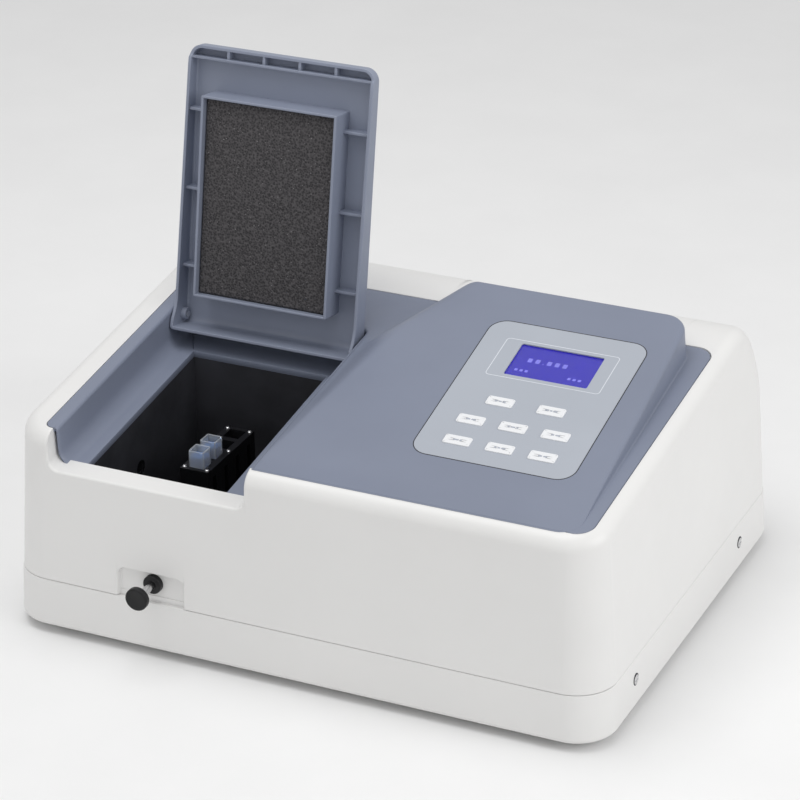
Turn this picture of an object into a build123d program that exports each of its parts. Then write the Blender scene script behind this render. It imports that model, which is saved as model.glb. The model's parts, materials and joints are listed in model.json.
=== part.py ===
"""Bench spectrophotometer with a hinged sample lid, a sliding cell holder and a sloping keypad console.

Frame, in millimetres: +X to the operator's right, +Y towards the back, +Z up. The origin is on the
bench, under the middle of the whole object with its lid open and its cell holder one step out.
"""
import os
from math import atan, cos, degrees, radians, sin, tan

from build123d import *

os.makedirs("parts", exist_ok=True)

# ---------------------------------------------------------------- driving dimensions: body
WIDTH = 470.0                    # across the foot of the base tray
DEPTH = 366.0                    # front to back at the foot of the base tray
KNOB_REACH = 22.0                # the pull knob stands this far ahead of the front
FRONT = KNOB_REACH - (DEPTH + KNOB_REACH) / 2
BACK = FRONT + DEPTH
TRAY_Z = 6.0                     # underside of the base tray
SEAM_Z = 45.0                    # joint between the base tray and the upper housing
SEAM_GAP = 0.6
WALL = 3.0
DRAFT = 2.8                      # lean of the outer walls, in degrees
CORNER_R = 31.0
TOP_FRONT_Z = 159.6              # height of the top plane above the front foot line
TOP_SLOPE = 0.12
REAR_ROUND_R = 74.0
TOP_EDGE_R = 9.0

# ---------------------------------------------------------------- deck, lid recess and console
DECK_X = (-204.0, 216.0)
DECK_Y = (-154.0, 95.0)
DECK_T = 3.0
DECK_R = 13.0
DECK_GAP = 0.6                   # dark joint line round the deck
RECESS_X = (-193.0, -38.5)
RECESS_BACK = 41.5
RECESS_DEPTH = 28.5
OPENING_X = (-173.5, -61.5)
OPENING_Y = (-149.0, 16.0)
OPENING_LIP = 5.0
SHELF_FRONT = -166.0
CONSOLE_FRONT = -139.0
CONSOLE_SLOPE = 0.2287
CONSOLE_RIGHT = (207.0, 199.0)   # foot of the right flank at the front and at the back

# ---------------------------------------------------------------- keypad and display
OVERLAY_X = (60.0, 182.5)
OVERLAY_Y = (-104.0, 52.0)
OVERLAY_T = 1.0
OVERLAY_R = 13.4
OVERLAY_GAP = 0.6                # dark joint line round the overlay
LCD_X = (91.0, 155.0)
LCD_Y = (-6.0, 30.0)
KEY_SIZE = (20.5, 9.6)
KEY_TRAVEL = 0.8
KEY_PROUD = 0.9
KEY_GAP = 0.35
KEY_PLACES = ([(102.0, -37.0), (141.0, -37.0)]
              + [(x, -61.0) for x in (89.8, 122.0, 154.2)]
              + [(x, -84.5) for x in (89.8, 122.0, 154.2)])

# ---------------------------------------------------------------- lid and hinge
HINGE_Y = 31.0
HINGE_DEPTH = 7.9                # the hinge axis lies this far under the lid's skin
LEAN = 10.0                      # the open lid leans back this far past upright
LID_X = (-192.0, -40.0)
LID_LENGTH = 208.0               # hinge axis to the free edge
LID_T = 2.5
LID_TAIL_R = 9.5
PIN_R = 2.5
RUNNING_GAP = 0.05
FRAME_X = (-173.0, -62.0)        # light-trap frame that holds the foam
FRAME_L = (19.7, 173.7)
FRAME_DEPTH = 25.5

# ---------------------------------------------------------------- sample compartment and cell holder
BOX_T = 2.0
BOX_FLOOR_Z = 50.0
CELL_PITCH = 18.0
CELL_X = -113.0
BEAM_Y = -72.5                   # optical axis, along X
BEAM_Z = 95.5
CELL_SIZE = 12.5
WELL = 12.9                      # square wells of the holder
CELL_HEIGHT = 45.0
CELL_FOOT_Z = 87.0
HOLDER_TOP_Z = 119.0
HOLDER_WIDTH = 23.0
ROD_Z = 59.0
ROD_R = 3.0
RAIL_R = 3.0
RAIL_X = (CELL_X - 20.0, CELL_X + 20.0)
KNOB_BAY_X = (CELL_X - 28.0, CELL_X + 25.0)
KNOB_BAY_Z = 67.5

# ---------------------------------------------------------------- floor levels inside
CHASSIS_Z = 14.0
CHASSIS_T = 1.5
BENCH_Z = 20.0
BENCH_TOP = 28.0
PANEL_Y = 183.5                  # inner face of the rear panel
PANEL_T = 1.5

draft_tan = tan(radians(DRAFT))
top_angle = atan(TOP_SLOPE)
console_angle = atan(CONSOLE_SLOPE)


def top_z(y):
    """Height of the sloping top plane at depth y."""
    return TOP_FRONT_Z + TOP_SLOPE * (y - FRONT)


def mid(pair):
    """Middle of a (low, high) pair."""
    return (pair[0] + pair[1]) / 2


def span(pair):
    """Length of a (low, high) pair."""
    return pair[1] - pair[0]


HINGE_Z = top_z(HINGE_Y) - HINGE_DEPTH / cos(top_angle)

# The top plane and the console plane: local x is across, local y runs up the slope, local z is out.
TOP = Plane(origin=(0, FRONT, TOP_FRONT_Z), x_dir=(1, 0, 0), z_dir=(0, -sin(top_angle), cos(top_angle)))
CONSOLE = Plane(origin=(0, CONSOLE_FRONT, top_z(CONSOLE_FRONT)), x_dir=(1, 0, 0),
                z_dir=(0, -sin(console_angle), cos(console_angle)))
# The open lid: local y runs from the hinge to the free edge, local z points into the lid.
LID = Plane(origin=(0, HINGE_Y, HINGE_Z), x_dir=(1, 0, 0),
            z_dir=(0, -cos(radians(LEAN)), sin(radians(LEAN))))


def up_top(y):
    """Distance up the top plane of depth y."""
    return (y - FRONT) / cos(top_angle)


def up_console(y):
    """Distance up the console plane of depth y."""
    return (y - CONSOLE_FRONT) / cos(console_angle)


def console_place(xs, ys):
    """Centre, on the console plane, of the area given by its low and high edges in plan."""
    return (mid(xs), (up_console(ys[0]) + up_console(ys[1])) / 2)


def slab(plane, xs, ys, zs, mode=Mode.ADD):
    """Rectangular block given by its low and high edges along a plane's three directions."""
    with BuildSketch(plane.offset(zs[0])) as outline:
        with Locations((mid(xs), mid(ys))):
            Rectangle(span(xs), span(ys))
    extrude(outline.sketch, amount=zs[1] - zs[0], mode=mode)


def pillar(centre, radius, zs, mode=Mode.ADD):
    """Upright round post or hole."""
    with BuildSketch(Plane.XY.offset(zs[0])) as outline:
        with Locations(centre):
            Circle(radius)
    extrude(outline.sketch, amount=zs[1] - zs[0], mode=mode)


def bar_y(centre, radius, ys, mode=Mode.ADD):
    """Round bar or hole along Y; centre is (x, z)."""
    start = Plane(origin=(centre[0], ys[0], centre[1]), x_dir=(1, 0, 0), z_dir=(0, 1, 0))
    with BuildSketch(start) as outline:
        Circle(radius)
    extrude(outline.sketch, amount=ys[1] - ys[0], mode=mode)


def bar_x(centre, radius, xs, mode=Mode.ADD):
    """Round bar or hole along X; centre is (y, z)."""
    start = Plane(origin=(xs[0], centre[0], centre[1]), x_dir=(0, 1, 0), z_dir=(1, 0, 0))
    with BuildSketch(start) as outline:
        Circle(radius)
    extrude(outline.sketch, amount=xs[1] - xs[0], mode=mode)


def block(xs, ys, zs, mode=Mode.ADD):
    """Upright rectangular block given by its low and high edges."""
    slab(Plane.XY, xs, ys, zs, mode)


def drafted_block(z_low, z_high, inset):
    """Rounded rectangle that follows the leaning outer walls, set in by a wall thickness."""
    shrink = 2 * (inset + draft_tan * (z_low - TRAY_Z))
    with BuildPart() as solid:
        with BuildSketch(Plane.XY.offset(z_low)):
            with Locations((0, (FRONT + BACK) / 2)):
                RectangleRounded(WIDTH - shrink, DEPTH - shrink, CORNER_R - inset)
        extrude(amount=z_high - z_low, taper=DRAFT)
    return solid.part


def housing_block(z_low, inset, edge_r):
    """Body above z_low: leaning walls under the sloping top with its large rounding at the back."""
    crest = 40.0
    wall_out = 0.5               # the rounding meets the back wall at a slight angle, not tangent
    reach = 30.0
    radius = REAR_ROUND_R - inset
    drop = inset / cos(top_angle)
    base_y = BACK - inset + wall_out + draft_tan * TRAY_Z - radius / cos(radians(DRAFT))
    centre_z = ((top_z(base_y) - drop - radius / cos(top_angle)) / (1 + TOP_SLOPE * draft_tan))
    centre_y = base_y - draft_tan * centre_z
    start = (centre_y - radius * sin(top_angle), centre_z + radius * cos(top_angle))
    end = (centre_y + radius * cos(radians(DRAFT)), centre_z + radius * sin(radians(DRAFT)))
    half = radians(90 + degrees(top_angle) + DRAFT) / 2 - top_angle
    peak = (centre_y + radius * sin(half), centre_z + radius * cos(half))
    foot_y = end[0] + draft_tan * (end[1] - z_low + crest)
    with BuildPart() as solid:
        add(drafted_block(z_low, TOP_FRONT_Z + crest, inset))
        with BuildSketch(Plane.YZ):
            with BuildLine():
                Line((FRONT - reach, z_low - crest), (FRONT - reach, top_z(FRONT - reach) - drop))
                Line((FRONT - reach, top_z(FRONT - reach) - drop), start)
                ThreePointArc(start, peak, end)
                Polyline(end, (foot_y, z_low - crest), (FRONT - reach, z_low - crest))
            make_face()
        extrude(amount=WIDTH, both=True, mode=Mode.INTERSECT)
        if edge_r:
            top_face = solid.faces().filter_by(TOP).sort_by(Axis.Z)[-1]
            front_edges = top_face.edges().filter_by_position(Axis.Y, FRONT - reach, centre_y - 1)
            fillet(front_edges, edge_r)
    return solid.part


# ================================================================ base
with BuildPart() as base_tray:
    add(drafted_block(TRAY_Z, SEAM_Z - SEAM_GAP, 0))
    add(drafted_block(TRAY_Z + WALL, SEAM_Z + 10, WALL), mode=Mode.SUBTRACT)
    add(drafted_block(SEAM_Z - 4, SEAM_Z + 5, WALL + 0.2))
    add(drafted_block(SEAM_Z - 5, SEAM_Z + 6, WALL + 2.2), mode=Mode.SUBTRACT)
    block((KNOB_BAY_X[0] - 1, KNOB_BAY_X[1] + 1), (FRONT, FRONT + 20), (SEAM_Z - SEAM_GAP, SEAM_Z + 6),
          mode=Mode.SUBTRACT)
    for x in (-190, 190):
        for y in (FRONT + 40, BACK - 40):
            pillar((x, y), 7, (TRAY_Z + WALL, CHASSIS_Z))
            pillar((x, y), 1.7, (TRAY_Z - 1, CHASSIS_Z + 1), mode=Mode.SUBTRACT)
    for side in (-1, 1):
        for y in (-105, 112):
            bar_x((y, 28), 2, (side * WIDTH / 2 - 10, side * WIDTH / 2 + 10), mode=Mode.SUBTRACT)
            head_face = side * (WIDTH / 2 - 3.2)
            bar_x((y, 28), 4.6, (min(head_face, side * WIDTH), max(head_face, side * WIDTH)),
                  mode=Mode.SUBTRACT)
base_tray.part.label = "base_tray"
export_step(base_tray.part, "parts/base_tray.step")

with BuildPart() as chassis_plate:
    block((-224, 224), (FRONT + 16, BACK - 16), (CHASSIS_Z, CHASSIS_Z + CHASSIS_T))
    for side in (-1, 1):
        outer = side * 227.5
        block((min(outer, outer - side * 1.5), max(outer, outer - side * 1.5)),
              (FRONT + 40, BACK - 40), (CHASSIS_Z, 38))
        block((min(side * 222, outer), max(side * 222, outer)),
              (FRONT + 40, BACK - 40), (CHASSIS_Z, CHASSIS_Z + CHASSIS_T))
        for y in (-105, 112):
            bar_x((y, 28), 2, (side * 227.5 - 4, side * 227.5 + 4), mode=Mode.SUBTRACT)
    for x in (-190, 190):
        for y in (FRONT + 40, BACK - 40):
            pillar((x, y), 1.7, (CHASSIS_Z - 1, CHASSIS_Z + 3), mode=Mode.SUBTRACT)
chassis_plate.part.label = "chassis_plate"
export_step(chassis_plate.part, "parts/chassis_plate.step")

with BuildPart() as rubber_feet:
    for x in (-190, 190):
        for y in (FRONT + 40, BACK - 40):
            with BuildSketch():
                with Locations((x, y)):
                    Circle(13)
            extrude(amount=TRAY_Z, taper=-4)
            pillar((x, y), 5, (-1, 3), mode=Mode.SUBTRACT)
            pillar((x, y), 1.7, (-1, TRAY_Z + 1), mode=Mode.SUBTRACT)
rubber_feet.part.label = "rubber_feet"
export_step(rubber_feet.part, "parts/rubber_feet.step")

with BuildPart() as foot_screws:
    for x in (-190, 190):
        for y in (FRONT + 40, BACK - 40):
            pillar((x, y), 3.2, (0.8, 3))
            pillar((x, y), 1.7, (3, CHASSIS_Z + CHASSIS_T + 1))
foot_screws.part.label = "foot_screws"
export_step(foot_screws.part, "parts/foot_screws.step")

with BuildPart() as side_screws:
    for side in (-1, 1):
        for y in (-105, 112):
            head = (side * (WIDTH / 2 - 3.2), side * (WIDTH / 2 - 1.2))
            shank = (side * 224, side * (WIDTH / 2 - 3.2))
            bar_x((y, 28), 4.2, (min(head), max(head)))
            bar_x((y, 28), 2, (min(shank), max(shank)))
            slot = (side * (WIDTH / 2 - 2.0), side * (WIDTH / 2 - 1.0))
            block((min(slot), max(slot)), (y - 2.4, y + 2.4), (27.5, 28.5), mode=Mode.SUBTRACT)
            block((min(slot), max(slot)), (y - 0.5, y + 0.5), (25.6, 30.4), mode=Mode.SUBTRACT)
side_screws.part.label = "side_screws"
export_step(side_screws.part, "parts/side_screws.step")

# ================================================================ upper housing
bay_wall_y = FRONT + draft_tan * (ROD_Z - TRAY_Z) + 3.5
NOTCH_X = (-196.0, RECESS_X[1])
NOTCH_DEPTH = 27.0
PANEL_X = (-4.0, 184.0)
PANEL_Z = (54.0, 118.0)

with BuildPart() as upper_housing:
    add(housing_block(SEAM_Z, 0, TOP_EDGE_R))
    add(housing_block(SEAM_Z - 1, WALL, 0), mode=Mode.SUBTRACT)
    # thicker wall behind the knob bay, then the bay itself
    block(KNOB_BAY_X, (bay_wall_y - 2, bay_wall_y + WALL), (SEAM_Z + 6, KNOB_BAY_Z + 2))
    with BuildSketch(Plane(origin=(0, bay_wall_y, 0), x_dir=(1, 0, 0), z_dir=(0, -1, 0))):
        with Locations((mid(KNOB_BAY_X), SEAM_Z + (KNOB_BAY_Z - SEAM_Z) / 2 - 4)):
            RectangleRounded(span(KNOB_BAY_X), KNOB_BAY_Z - SEAM_Z + 8, 6)
    extrude(amount=20, mode=Mode.SUBTRACT)
    bar_y((CELL_X, ROD_Z), 5.5, (bay_wall_y - 1, bay_wall_y + 8), mode=Mode.SUBTRACT)
    # rim that carries the deck, the pocket for the deck and the opening under it
    deck_rows = up_top(DECK_Y[1]) - up_top(DECK_Y[0])
    with BuildSketch(TOP.offset(-DECK_T - 2)):
        with Locations((mid(DECK_X), (up_top(DECK_Y[0]) + up_top(DECK_Y[1])) / 2)):
            RectangleRounded(span(DECK_X) + 12, deck_rows + 12, DECK_R + 6)
            RectangleRounded(span(DECK_X) - 8, deck_rows - 8, DECK_R - 4, mode=Mode.SUBTRACT)
    extrude(amount=2)
    with BuildSketch(TOP.offset(-DECK_T)):
        with Locations((mid(DECK_X), (up_top(DECK_Y[0]) + up_top(DECK_Y[1])) / 2)):
            RectangleRounded(span(DECK_X) + 2 * DECK_GAP, deck_rows + 2 * DECK_GAP, DECK_R + DECK_GAP)
    extrude(amount=20, mode=Mode.SUBTRACT)
    with BuildSketch(TOP.offset(-DECK_T - 9)):
        with Locations((mid(DECK_X), (up_top(DECK_Y[0]) + up_top(DECK_Y[1])) / 2)):
            RectangleRounded(span(DECK_X) - 8, deck_rows - 8, DECK_R - 4)
    extrude(amount=20, mode=Mode.SUBTRACT)
    slab(TOP, (RECESS_X[0] - 3.5, RECESS_X[1] + 3.5), (up_top(DECK_Y[0]), up_top(0)), (-30, -DECK_T),
         mode=Mode.SUBTRACT)
    # shelf at the front of the lid recess and the notch above it
    slab(TOP, (RECESS_X[0] - 3, RECESS_X[1] + 3), (up_top(SHELF_FRONT), up_top(DECK_Y[0]) + 0.8),
         (-NOTCH_DEPTH - 3, -NOTCH_DEPTH))
    slab(TOP, (RECESS_X[0] + 0.2, RECESS_X[1] - 0.2), (up_top(DECK_Y[0]), up_top(OPENING_Y[0]) - 0.2),
         (-NOTCH_DEPTH - 3, -NOTCH_DEPTH))
    with BuildSketch(Plane.XZ.offset(-DECK_Y[0] - 1)):
        with Locations((mid(NOTCH_X), top_z(FRONT) - NOTCH_DEPTH + 30)):
            RectangleRounded(span(NOTCH_X), 60, 8)
    extrude(amount=40, mode=Mode.SUBTRACT)
    # opening in the back for the rear panel
    with BuildSketch(Plane.XZ.offset(-BACK - 5)):
        with Locations((mid(PANEL_X), mid(PANEL_Z))):
            RectangleRounded(span(PANEL_X), span(PANEL_Z), 5)
    extrude(amount=24, mode=Mode.SUBTRACT)
upper_housing.part.label = "upper_housing"
export_step(upper_housing.part, "parts/upper_housing.step")

# ================================================================ deck with the console


def console_body(inset):
    """Wedge that rises from the deck plane to the console plane, with an S-shaped left flank."""
    stations = (CONSOLE_FRONT + 2 + 10 * inset, 21.0, DECK_Y[1] - inset)
    left_foot = (RECESS_X[1] + 1.0, RECESS_X[1] + 1.0, -7.0)
    left_head = (RECESS_X[1] + 4.0, -3.0, 33.0)
    with BuildPart() as solid:
        sections = []
        for y, foot, head in zip(stations, left_foot, left_head):
            share = (y - CONSOLE_FRONT) / (DECK_Y[1] - CONSOLE_FRONT)
            right = CONSOLE_RIGHT[0] + share * (CONSOLE_RIGHT[1] - CONSOLE_RIGHT[0]) - inset
            low = top_z(y) - (DECK_T + 6 if inset else DECK_T / 2)
            deck = top_z(y)
            high = deck + (CONSOLE_SLOPE - TOP_SLOPE) * (y - CONSOLE_FRONT) - inset
            with BuildSketch(Plane(origin=(0, y, 0), x_dir=(1, 0, 0), z_dir=(0, -1, 0))) as section:
                with BuildLine():
                    Polyline((foot + inset, deck - inset), (foot + inset, low), (right + 1.5, low),
                             (right + 1.5, deck - inset), (right, high), (head + inset, high))
                    Spline((head + inset, high), (foot + inset, deck - inset),
                           tangents=((-1, 0), (-1, -0.05)))
                make_face()
            sections.append(section.sketch)
        loft(sections, ruled=True)
    return solid.part


recess_wall = DECK_T
with BuildPart() as top_deck:
    with BuildSketch(TOP):
        with Locations((mid(DECK_X), (up_top(DECK_Y[0]) + up_top(DECK_Y[1])) / 2)):
            RectangleRounded(span(DECK_X), deck_rows, DECK_R)
    extrude(amount=-DECK_T)
    add(console_body(0))
    slab(TOP, (RECESS_X[0] - recess_wall, RECESS_X[1] + recess_wall),
         (up_top(DECK_Y[0]) + 1, up_top(RECESS_BACK) + recess_wall), (-RECESS_DEPTH - DECK_T, -0.5))
    add(console_body(DECK_T), mode=Mode.SUBTRACT)
    # wall between the recess and the hollow console
    slab(TOP, (RECESS_X[1], RECESS_X[1] + recess_wall),
         (up_top(DECK_Y[0]) + 1, up_top(RECESS_BACK) + recess_wall), (-RECESS_DEPTH - DECK_T, -DECK_T / 2))
    # the recess itself, open at the front
    slab(TOP, RECESS_X, (up_top(DECK_Y[0]) - 10, up_top(RECESS_BACK)), (-RECESS_DEPTH, 40),
         mode=Mode.SUBTRACT)
    slab(TOP, RECESS_X, (up_top(DECK_Y[0]), up_top(OPENING_Y[0])), (-RECESS_DEPTH - DECK_T - 1, 0),
         mode=Mode.SUBTRACT)
    # opening over the sample compartment, with its lip
    lip_y = (up_top(OPENING_Y[0]), up_top(OPENING_Y[1]) + BOX_T)
    slab(TOP, (OPENING_X[0] - BOX_T, OPENING_X[1] + BOX_T), lip_y,
         (-RECESS_DEPTH - OPENING_LIP, -RECESS_DEPTH - 1))
    slab(TOP, OPENING_X, (up_top(OPENING_Y[0]) - 20, up_top(OPENING_Y[1])),
         (-RECESS_DEPTH - OPENING_LIP - 1, -RECESS_DEPTH + 1), mode=Mode.SUBTRACT)
    # hinge pin bores
    bar_x((HINGE_Y, HINGE_Z), PIN_R, (RECESS_X[0] - recess_wall - 1, RECESS_X[1] + recess_wall + 1),
          mode=Mode.SUBTRACT)
    # pocket for the keypad overlay, display window and key openings
    overlay_rows = up_console(OVERLAY_Y[1]) - up_console(OVERLAY_Y[0])
    with BuildSketch(CONSOLE):
        with Locations(console_place(OVERLAY_X, OVERLAY_Y)):
            RectangleRounded(span(OVERLAY_X) + 2 * OVERLAY_GAP, overlay_rows + 2 * OVERLAY_GAP,
                             OVERLAY_R + OVERLAY_GAP)
    extrude(amount=-OVERLAY_T, mode=Mode.SUBTRACT)
    slab(CONSOLE, (LCD_X[0] - 2, LCD_X[1] + 2), (up_console(LCD_Y[0]) - 2, up_console(LCD_Y[1]) + 2),
         (-DECK_T - 2, 1), mode=Mode.SUBTRACT)
    key_hole = (KEY_SIZE[0] + 2 * KEY_GAP, KEY_SIZE[1] + 2 * KEY_GAP)
    with BuildSketch(CONSOLE.offset(-DECK_T - 2)):
        for x, y in KEY_PLACES:
            with Locations((x, up_console(y))):
                RectangleRounded(*key_hole, 1.8)
    extrude(amount=DECK_T + 3, mode=Mode.SUBTRACT)
top_deck.part.label = "top_deck"
export_step(top_deck.part, "parts/top_deck.step")

with BuildPart() as keypad_overlay:
    with BuildSketch(CONSOLE.offset(-OVERLAY_T)):
        with Locations(console_place(OVERLAY_X, OVERLAY_Y)):
            RectangleRounded(span(OVERLAY_X), overlay_rows, OVERLAY_R)
        with Locations(console_place(LCD_X, LCD_Y)):
            Rectangle(span(LCD_X), up_console(LCD_Y[1]) - up_console(LCD_Y[0]), mode=Mode.SUBTRACT)
        for x, y in KEY_PLACES:
            with Locations((x, up_console(y))):
                RectangleRounded(*key_hole, 1.8, mode=Mode.SUBTRACT)
    extrude(amount=OVERLAY_T)
keypad_overlay.part.label = "keypad_overlay"
export_step(keypad_overlay.part, "parts/keypad_overlay.step")

with BuildPart() as display_window:
    slab(CONSOLE, (LCD_X[0] - 1.5, LCD_X[1] + 1.5), (up_console(LCD_Y[0]) - 1.5, up_console(LCD_Y[1]) + 1.5),
         (-OVERLAY_T - 1.2, -OVERLAY_T))
display_window.part.label = "display_window"
export_step(display_window.part, "parts/display_window.step")

with BuildPart() as lcd_panel:
    slab(CONSOLE, (LCD_X[0] - 4, LCD_X[1] + 4), (up_console(LCD_Y[0]) - 4, up_console(LCD_Y[1]) + 4),
         (-DECK_T - 5, -DECK_T))
lcd_panel.part.label = "lcd_panel"
export_step(lcd_panel.part, "parts/lcd_panel.step")

with BuildPart() as keypad_board:
    slab(CONSOLE, (64, 180), (up_console(-98), up_console(44)), (-DECK_T - 6.6, -DECK_T - 5))
    for x, y in KEY_PLACES:
        slab(CONSOLE, (x - 3, x + 3), (up_console(y) - 3, up_console(y) + 3), (-DECK_T - 5, -DECK_T - 3.4))
    slab(CONSOLE, (100, 140), (up_console(-20), up_console(-12)), (-DECK_T - 11, -DECK_T - 6.6))
keypad_board.part.label = "keypad_board"
export_step(keypad_board.part, "parts/keypad_board.step")

for index, (x, y) in enumerate(KEY_PLACES, start=1):
    with BuildPart() as key:
        with BuildSketch(CONSOLE.offset(-DECK_T + 0.4)):
            with Locations((x, up_console(y))):
                RectangleRounded(*KEY_SIZE, 1.5)
        extrude(amount=DECK_T - 0.4 + KEY_PROUD)
        slab(CONSOLE, (x - 1.8, x + 1.8), (up_console(y) - 1.8, up_console(y) + 1.8),
             (-DECK_T - 3.4 + KEY_TRAVEL + 0.1, -DECK_T + 0.4))
        fillet(key.faces().filter_by(CONSOLE).sort_by(Axis.Z)[-1].edges(), 0.5)
    key.part.label = f"key_{index}"
    export_step(key.part, f"parts/key_{index}.step")

# ================================================================ lid
skin = -HINGE_DEPTH
tail_meet = -(LID_TAIL_R ** 2 - HINGE_DEPTH ** 2) ** 0.5
inner_r = LID_TAIL_R - LID_T
inner_skin = skin + LID_T
inner_meet = -(inner_r ** 2 - inner_skin ** 2) ** 0.5
CROSS_WALL = (197.5, 200.0)
RIM_T = 2.0
SIDE = Plane(origin=LID.origin, x_dir=LID.y_dir, z_dir=LID.x_dir)   # local x up the lid, local y into it

with BuildPart() as lid:
    with BuildSketch(SIDE.offset(LID_X[0])):
        with BuildLine():
            Line((tail_meet, skin), (LID_LENGTH, skin))
            Polyline((LID_LENGTH, skin), (LID_LENGTH, 2.1), (CROSS_WALL[1], 2.1), (CROSS_WALL[0], 4.6),
                     (12, 9.8), (4, 12.5), (-3, 16.8), (-LID_TAIL_R, 16.8), (-LID_TAIL_R, 0))
            RadiusArc((-LID_TAIL_R, 0), (tail_meet, skin), LID_TAIL_R)
        make_face()
    extrude(amount=span(LID_X))
    free_corners = lid.edges().filter_by(Axis(LID.origin, LID.z_dir)).sort_by(Axis.Z)[-2:]
    fillet(free_corners, 10)
    with BuildSketch(SIDE.offset(LID_X[0] + LID_T)):
        with BuildLine():
            Line((inner_meet, inner_skin), (CROSS_WALL[0], inner_skin))
            Polyline((CROSS_WALL[0], inner_skin), (CROSS_WALL[0], 40), (-inner_r, 40), (-inner_r, 0))
            RadiusArc((-inner_r, 0), (inner_meet, inner_skin), inner_r)
        make_face()
    extrude(amount=span(LID_X) - 2 * LID_T, mode=Mode.SUBTRACT)
    # open strip beyond the cross wall, divided by ribs
    with BuildSketch(LID.offset(inner_skin)):
        with Locations((mid(LID_X), (CROSS_WALL[1] + LID_LENGTH - RIM_T) / 2)):
            RectangleRounded(span(LID_X) - 2 * RIM_T, LID_LENGTH - RIM_T - CROSS_WALL[1], 2.9)
        with Locations((mid(LID_X), (CROSS_WALL[1] + LID_LENGTH - RIM_T) / 2)):
            with GridLocations(29.4, 1, 4, 1):
                Rectangle(2, 20, mode=Mode.SUBTRACT)
    extrude(amount=30, mode=Mode.SUBTRACT)
    # frame for the foam
    slab(LID, FRAME_X, FRAME_L, (inner_skin, skin + FRAME_DEPTH))
    slab(LID, (FRAME_X[0] + 2, FRAME_X[1] - 2), (FRAME_L[0] + 2, FRAME_L[1] - 2), (inner_skin, 40),
         mode=Mode.SUBTRACT)
    for reach in (39, 99, 159.5):
        slab(LID, (LID_X[0] + LID_T, FRAME_X[0]), (reach - 1, reach + 1), (inner_skin, 4))
        slab(LID, (FRAME_X[1], LID_X[1] - LID_T), (reach - 1, reach + 1), (inner_skin, 4))
    # hinge bosses
    bar_x((HINGE_Y, HINGE_Z), 4.6, (LID_X[0] + LID_T, LID_X[0] + LID_T + 4))
    bar_x((HINGE_Y, HINGE_Z), 4.6, (LID_X[1] - LID_T - 4, LID_X[1] - LID_T))
    bar_x((HINGE_Y, HINGE_Z), PIN_R + RUNNING_GAP, (LID_X[0] - 1, LID_X[1] + 1), mode=Mode.SUBTRACT)
lid.part.label = "lid"
export_step(lid.part, "parts/lid.step")

with BuildPart() as lid_foam:
    slab(LID, (FRAME_X[0] + 2, FRAME_X[1] - 2), (FRAME_L[0] + 2, FRAME_L[1] - 2),
         (inner_skin, skin + FRAME_DEPTH - 3.5))
lid_foam.part.label = "lid_foam"
export_step(lid_foam.part, "parts/lid_foam.step")

with BuildPart() as hinge_pins:
    bar_x((HINGE_Y, HINGE_Z), PIN_R, (RECESS_X[0] - recess_wall, LID_X[0] + LID_T + 4.5))
    bar_x((HINGE_Y, HINGE_Z), PIN_R, (LID_X[1] - LID_T - 4.5, RECESS_X[1] + recess_wall))
hinge_pins.part.label = "hinge_pins"
export_step(hinge_pins.part, "parts/hinge_pins.step")

# ================================================================ sample compartment
box_x = (OPENING_X[0] - BOX_T, OPENING_X[1] + BOX_T)
box_y = (OPENING_Y[0] - BOX_T, OPENING_Y[1] + BOX_T)
with BuildPart() as sample_box:
    block(box_x, box_y, (BOX_FLOOR_Z - BOX_T, 190))
    block(OPENING_X, OPENING_Y, (BOX_FLOOR_Z, 200), mode=Mode.SUBTRACT)
    slab(TOP, (-250, 50), (-60, 300), (-RECESS_DEPTH - OPENING_LIP, 80), mode=Mode.SUBTRACT)
    for x in (box_x[0] + 8, box_x[1] - 8):
        for y in (box_y[0] + 14, box_y[1] - 8):
            pillar((x, y), 5, (BENCH_TOP, BOX_FLOOR_Z - BOX_T))
    bar_y((CELL_X, ROD_Z), ROD_R + 0.5, (box_y[0] - 1, OPENING_Y[0] + 1), mode=Mode.SUBTRACT)
    bar_x((BEAM_Y, BEAM_Z), 6, (box_x[0] - 1, box_x[1] + 1), mode=Mode.SUBTRACT)
    for x in RAIL_X:
        bar_y((x, ROD_Z), RAIL_R, (box_y[0] - 1, box_y[1] + 1), mode=Mode.SUBTRACT)
sample_box.part.label = "sample_box"
export_step(sample_box.part, "parts/sample_box.step")

with BuildPart() as beam_windows:
    bar_x((BEAM_Y, BEAM_Z), 6, (box_x[0], box_x[0] + BOX_T))
    bar_x((BEAM_Y, BEAM_Z), 6, (box_x[1] - BOX_T, box_x[1]))
beam_windows.part.label = "beam_windows"
export_step(beam_windows.part, "parts/beam_windows.step")

with BuildPart() as carriage_rails:
    for x in RAIL_X:
        bar_y((x, ROD_Z), RAIL_R, box_y)
carriage_rails.part.label = "carriage_rails"
export_step(carriage_rails.part, "parts/carriage_rails.step")

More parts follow.
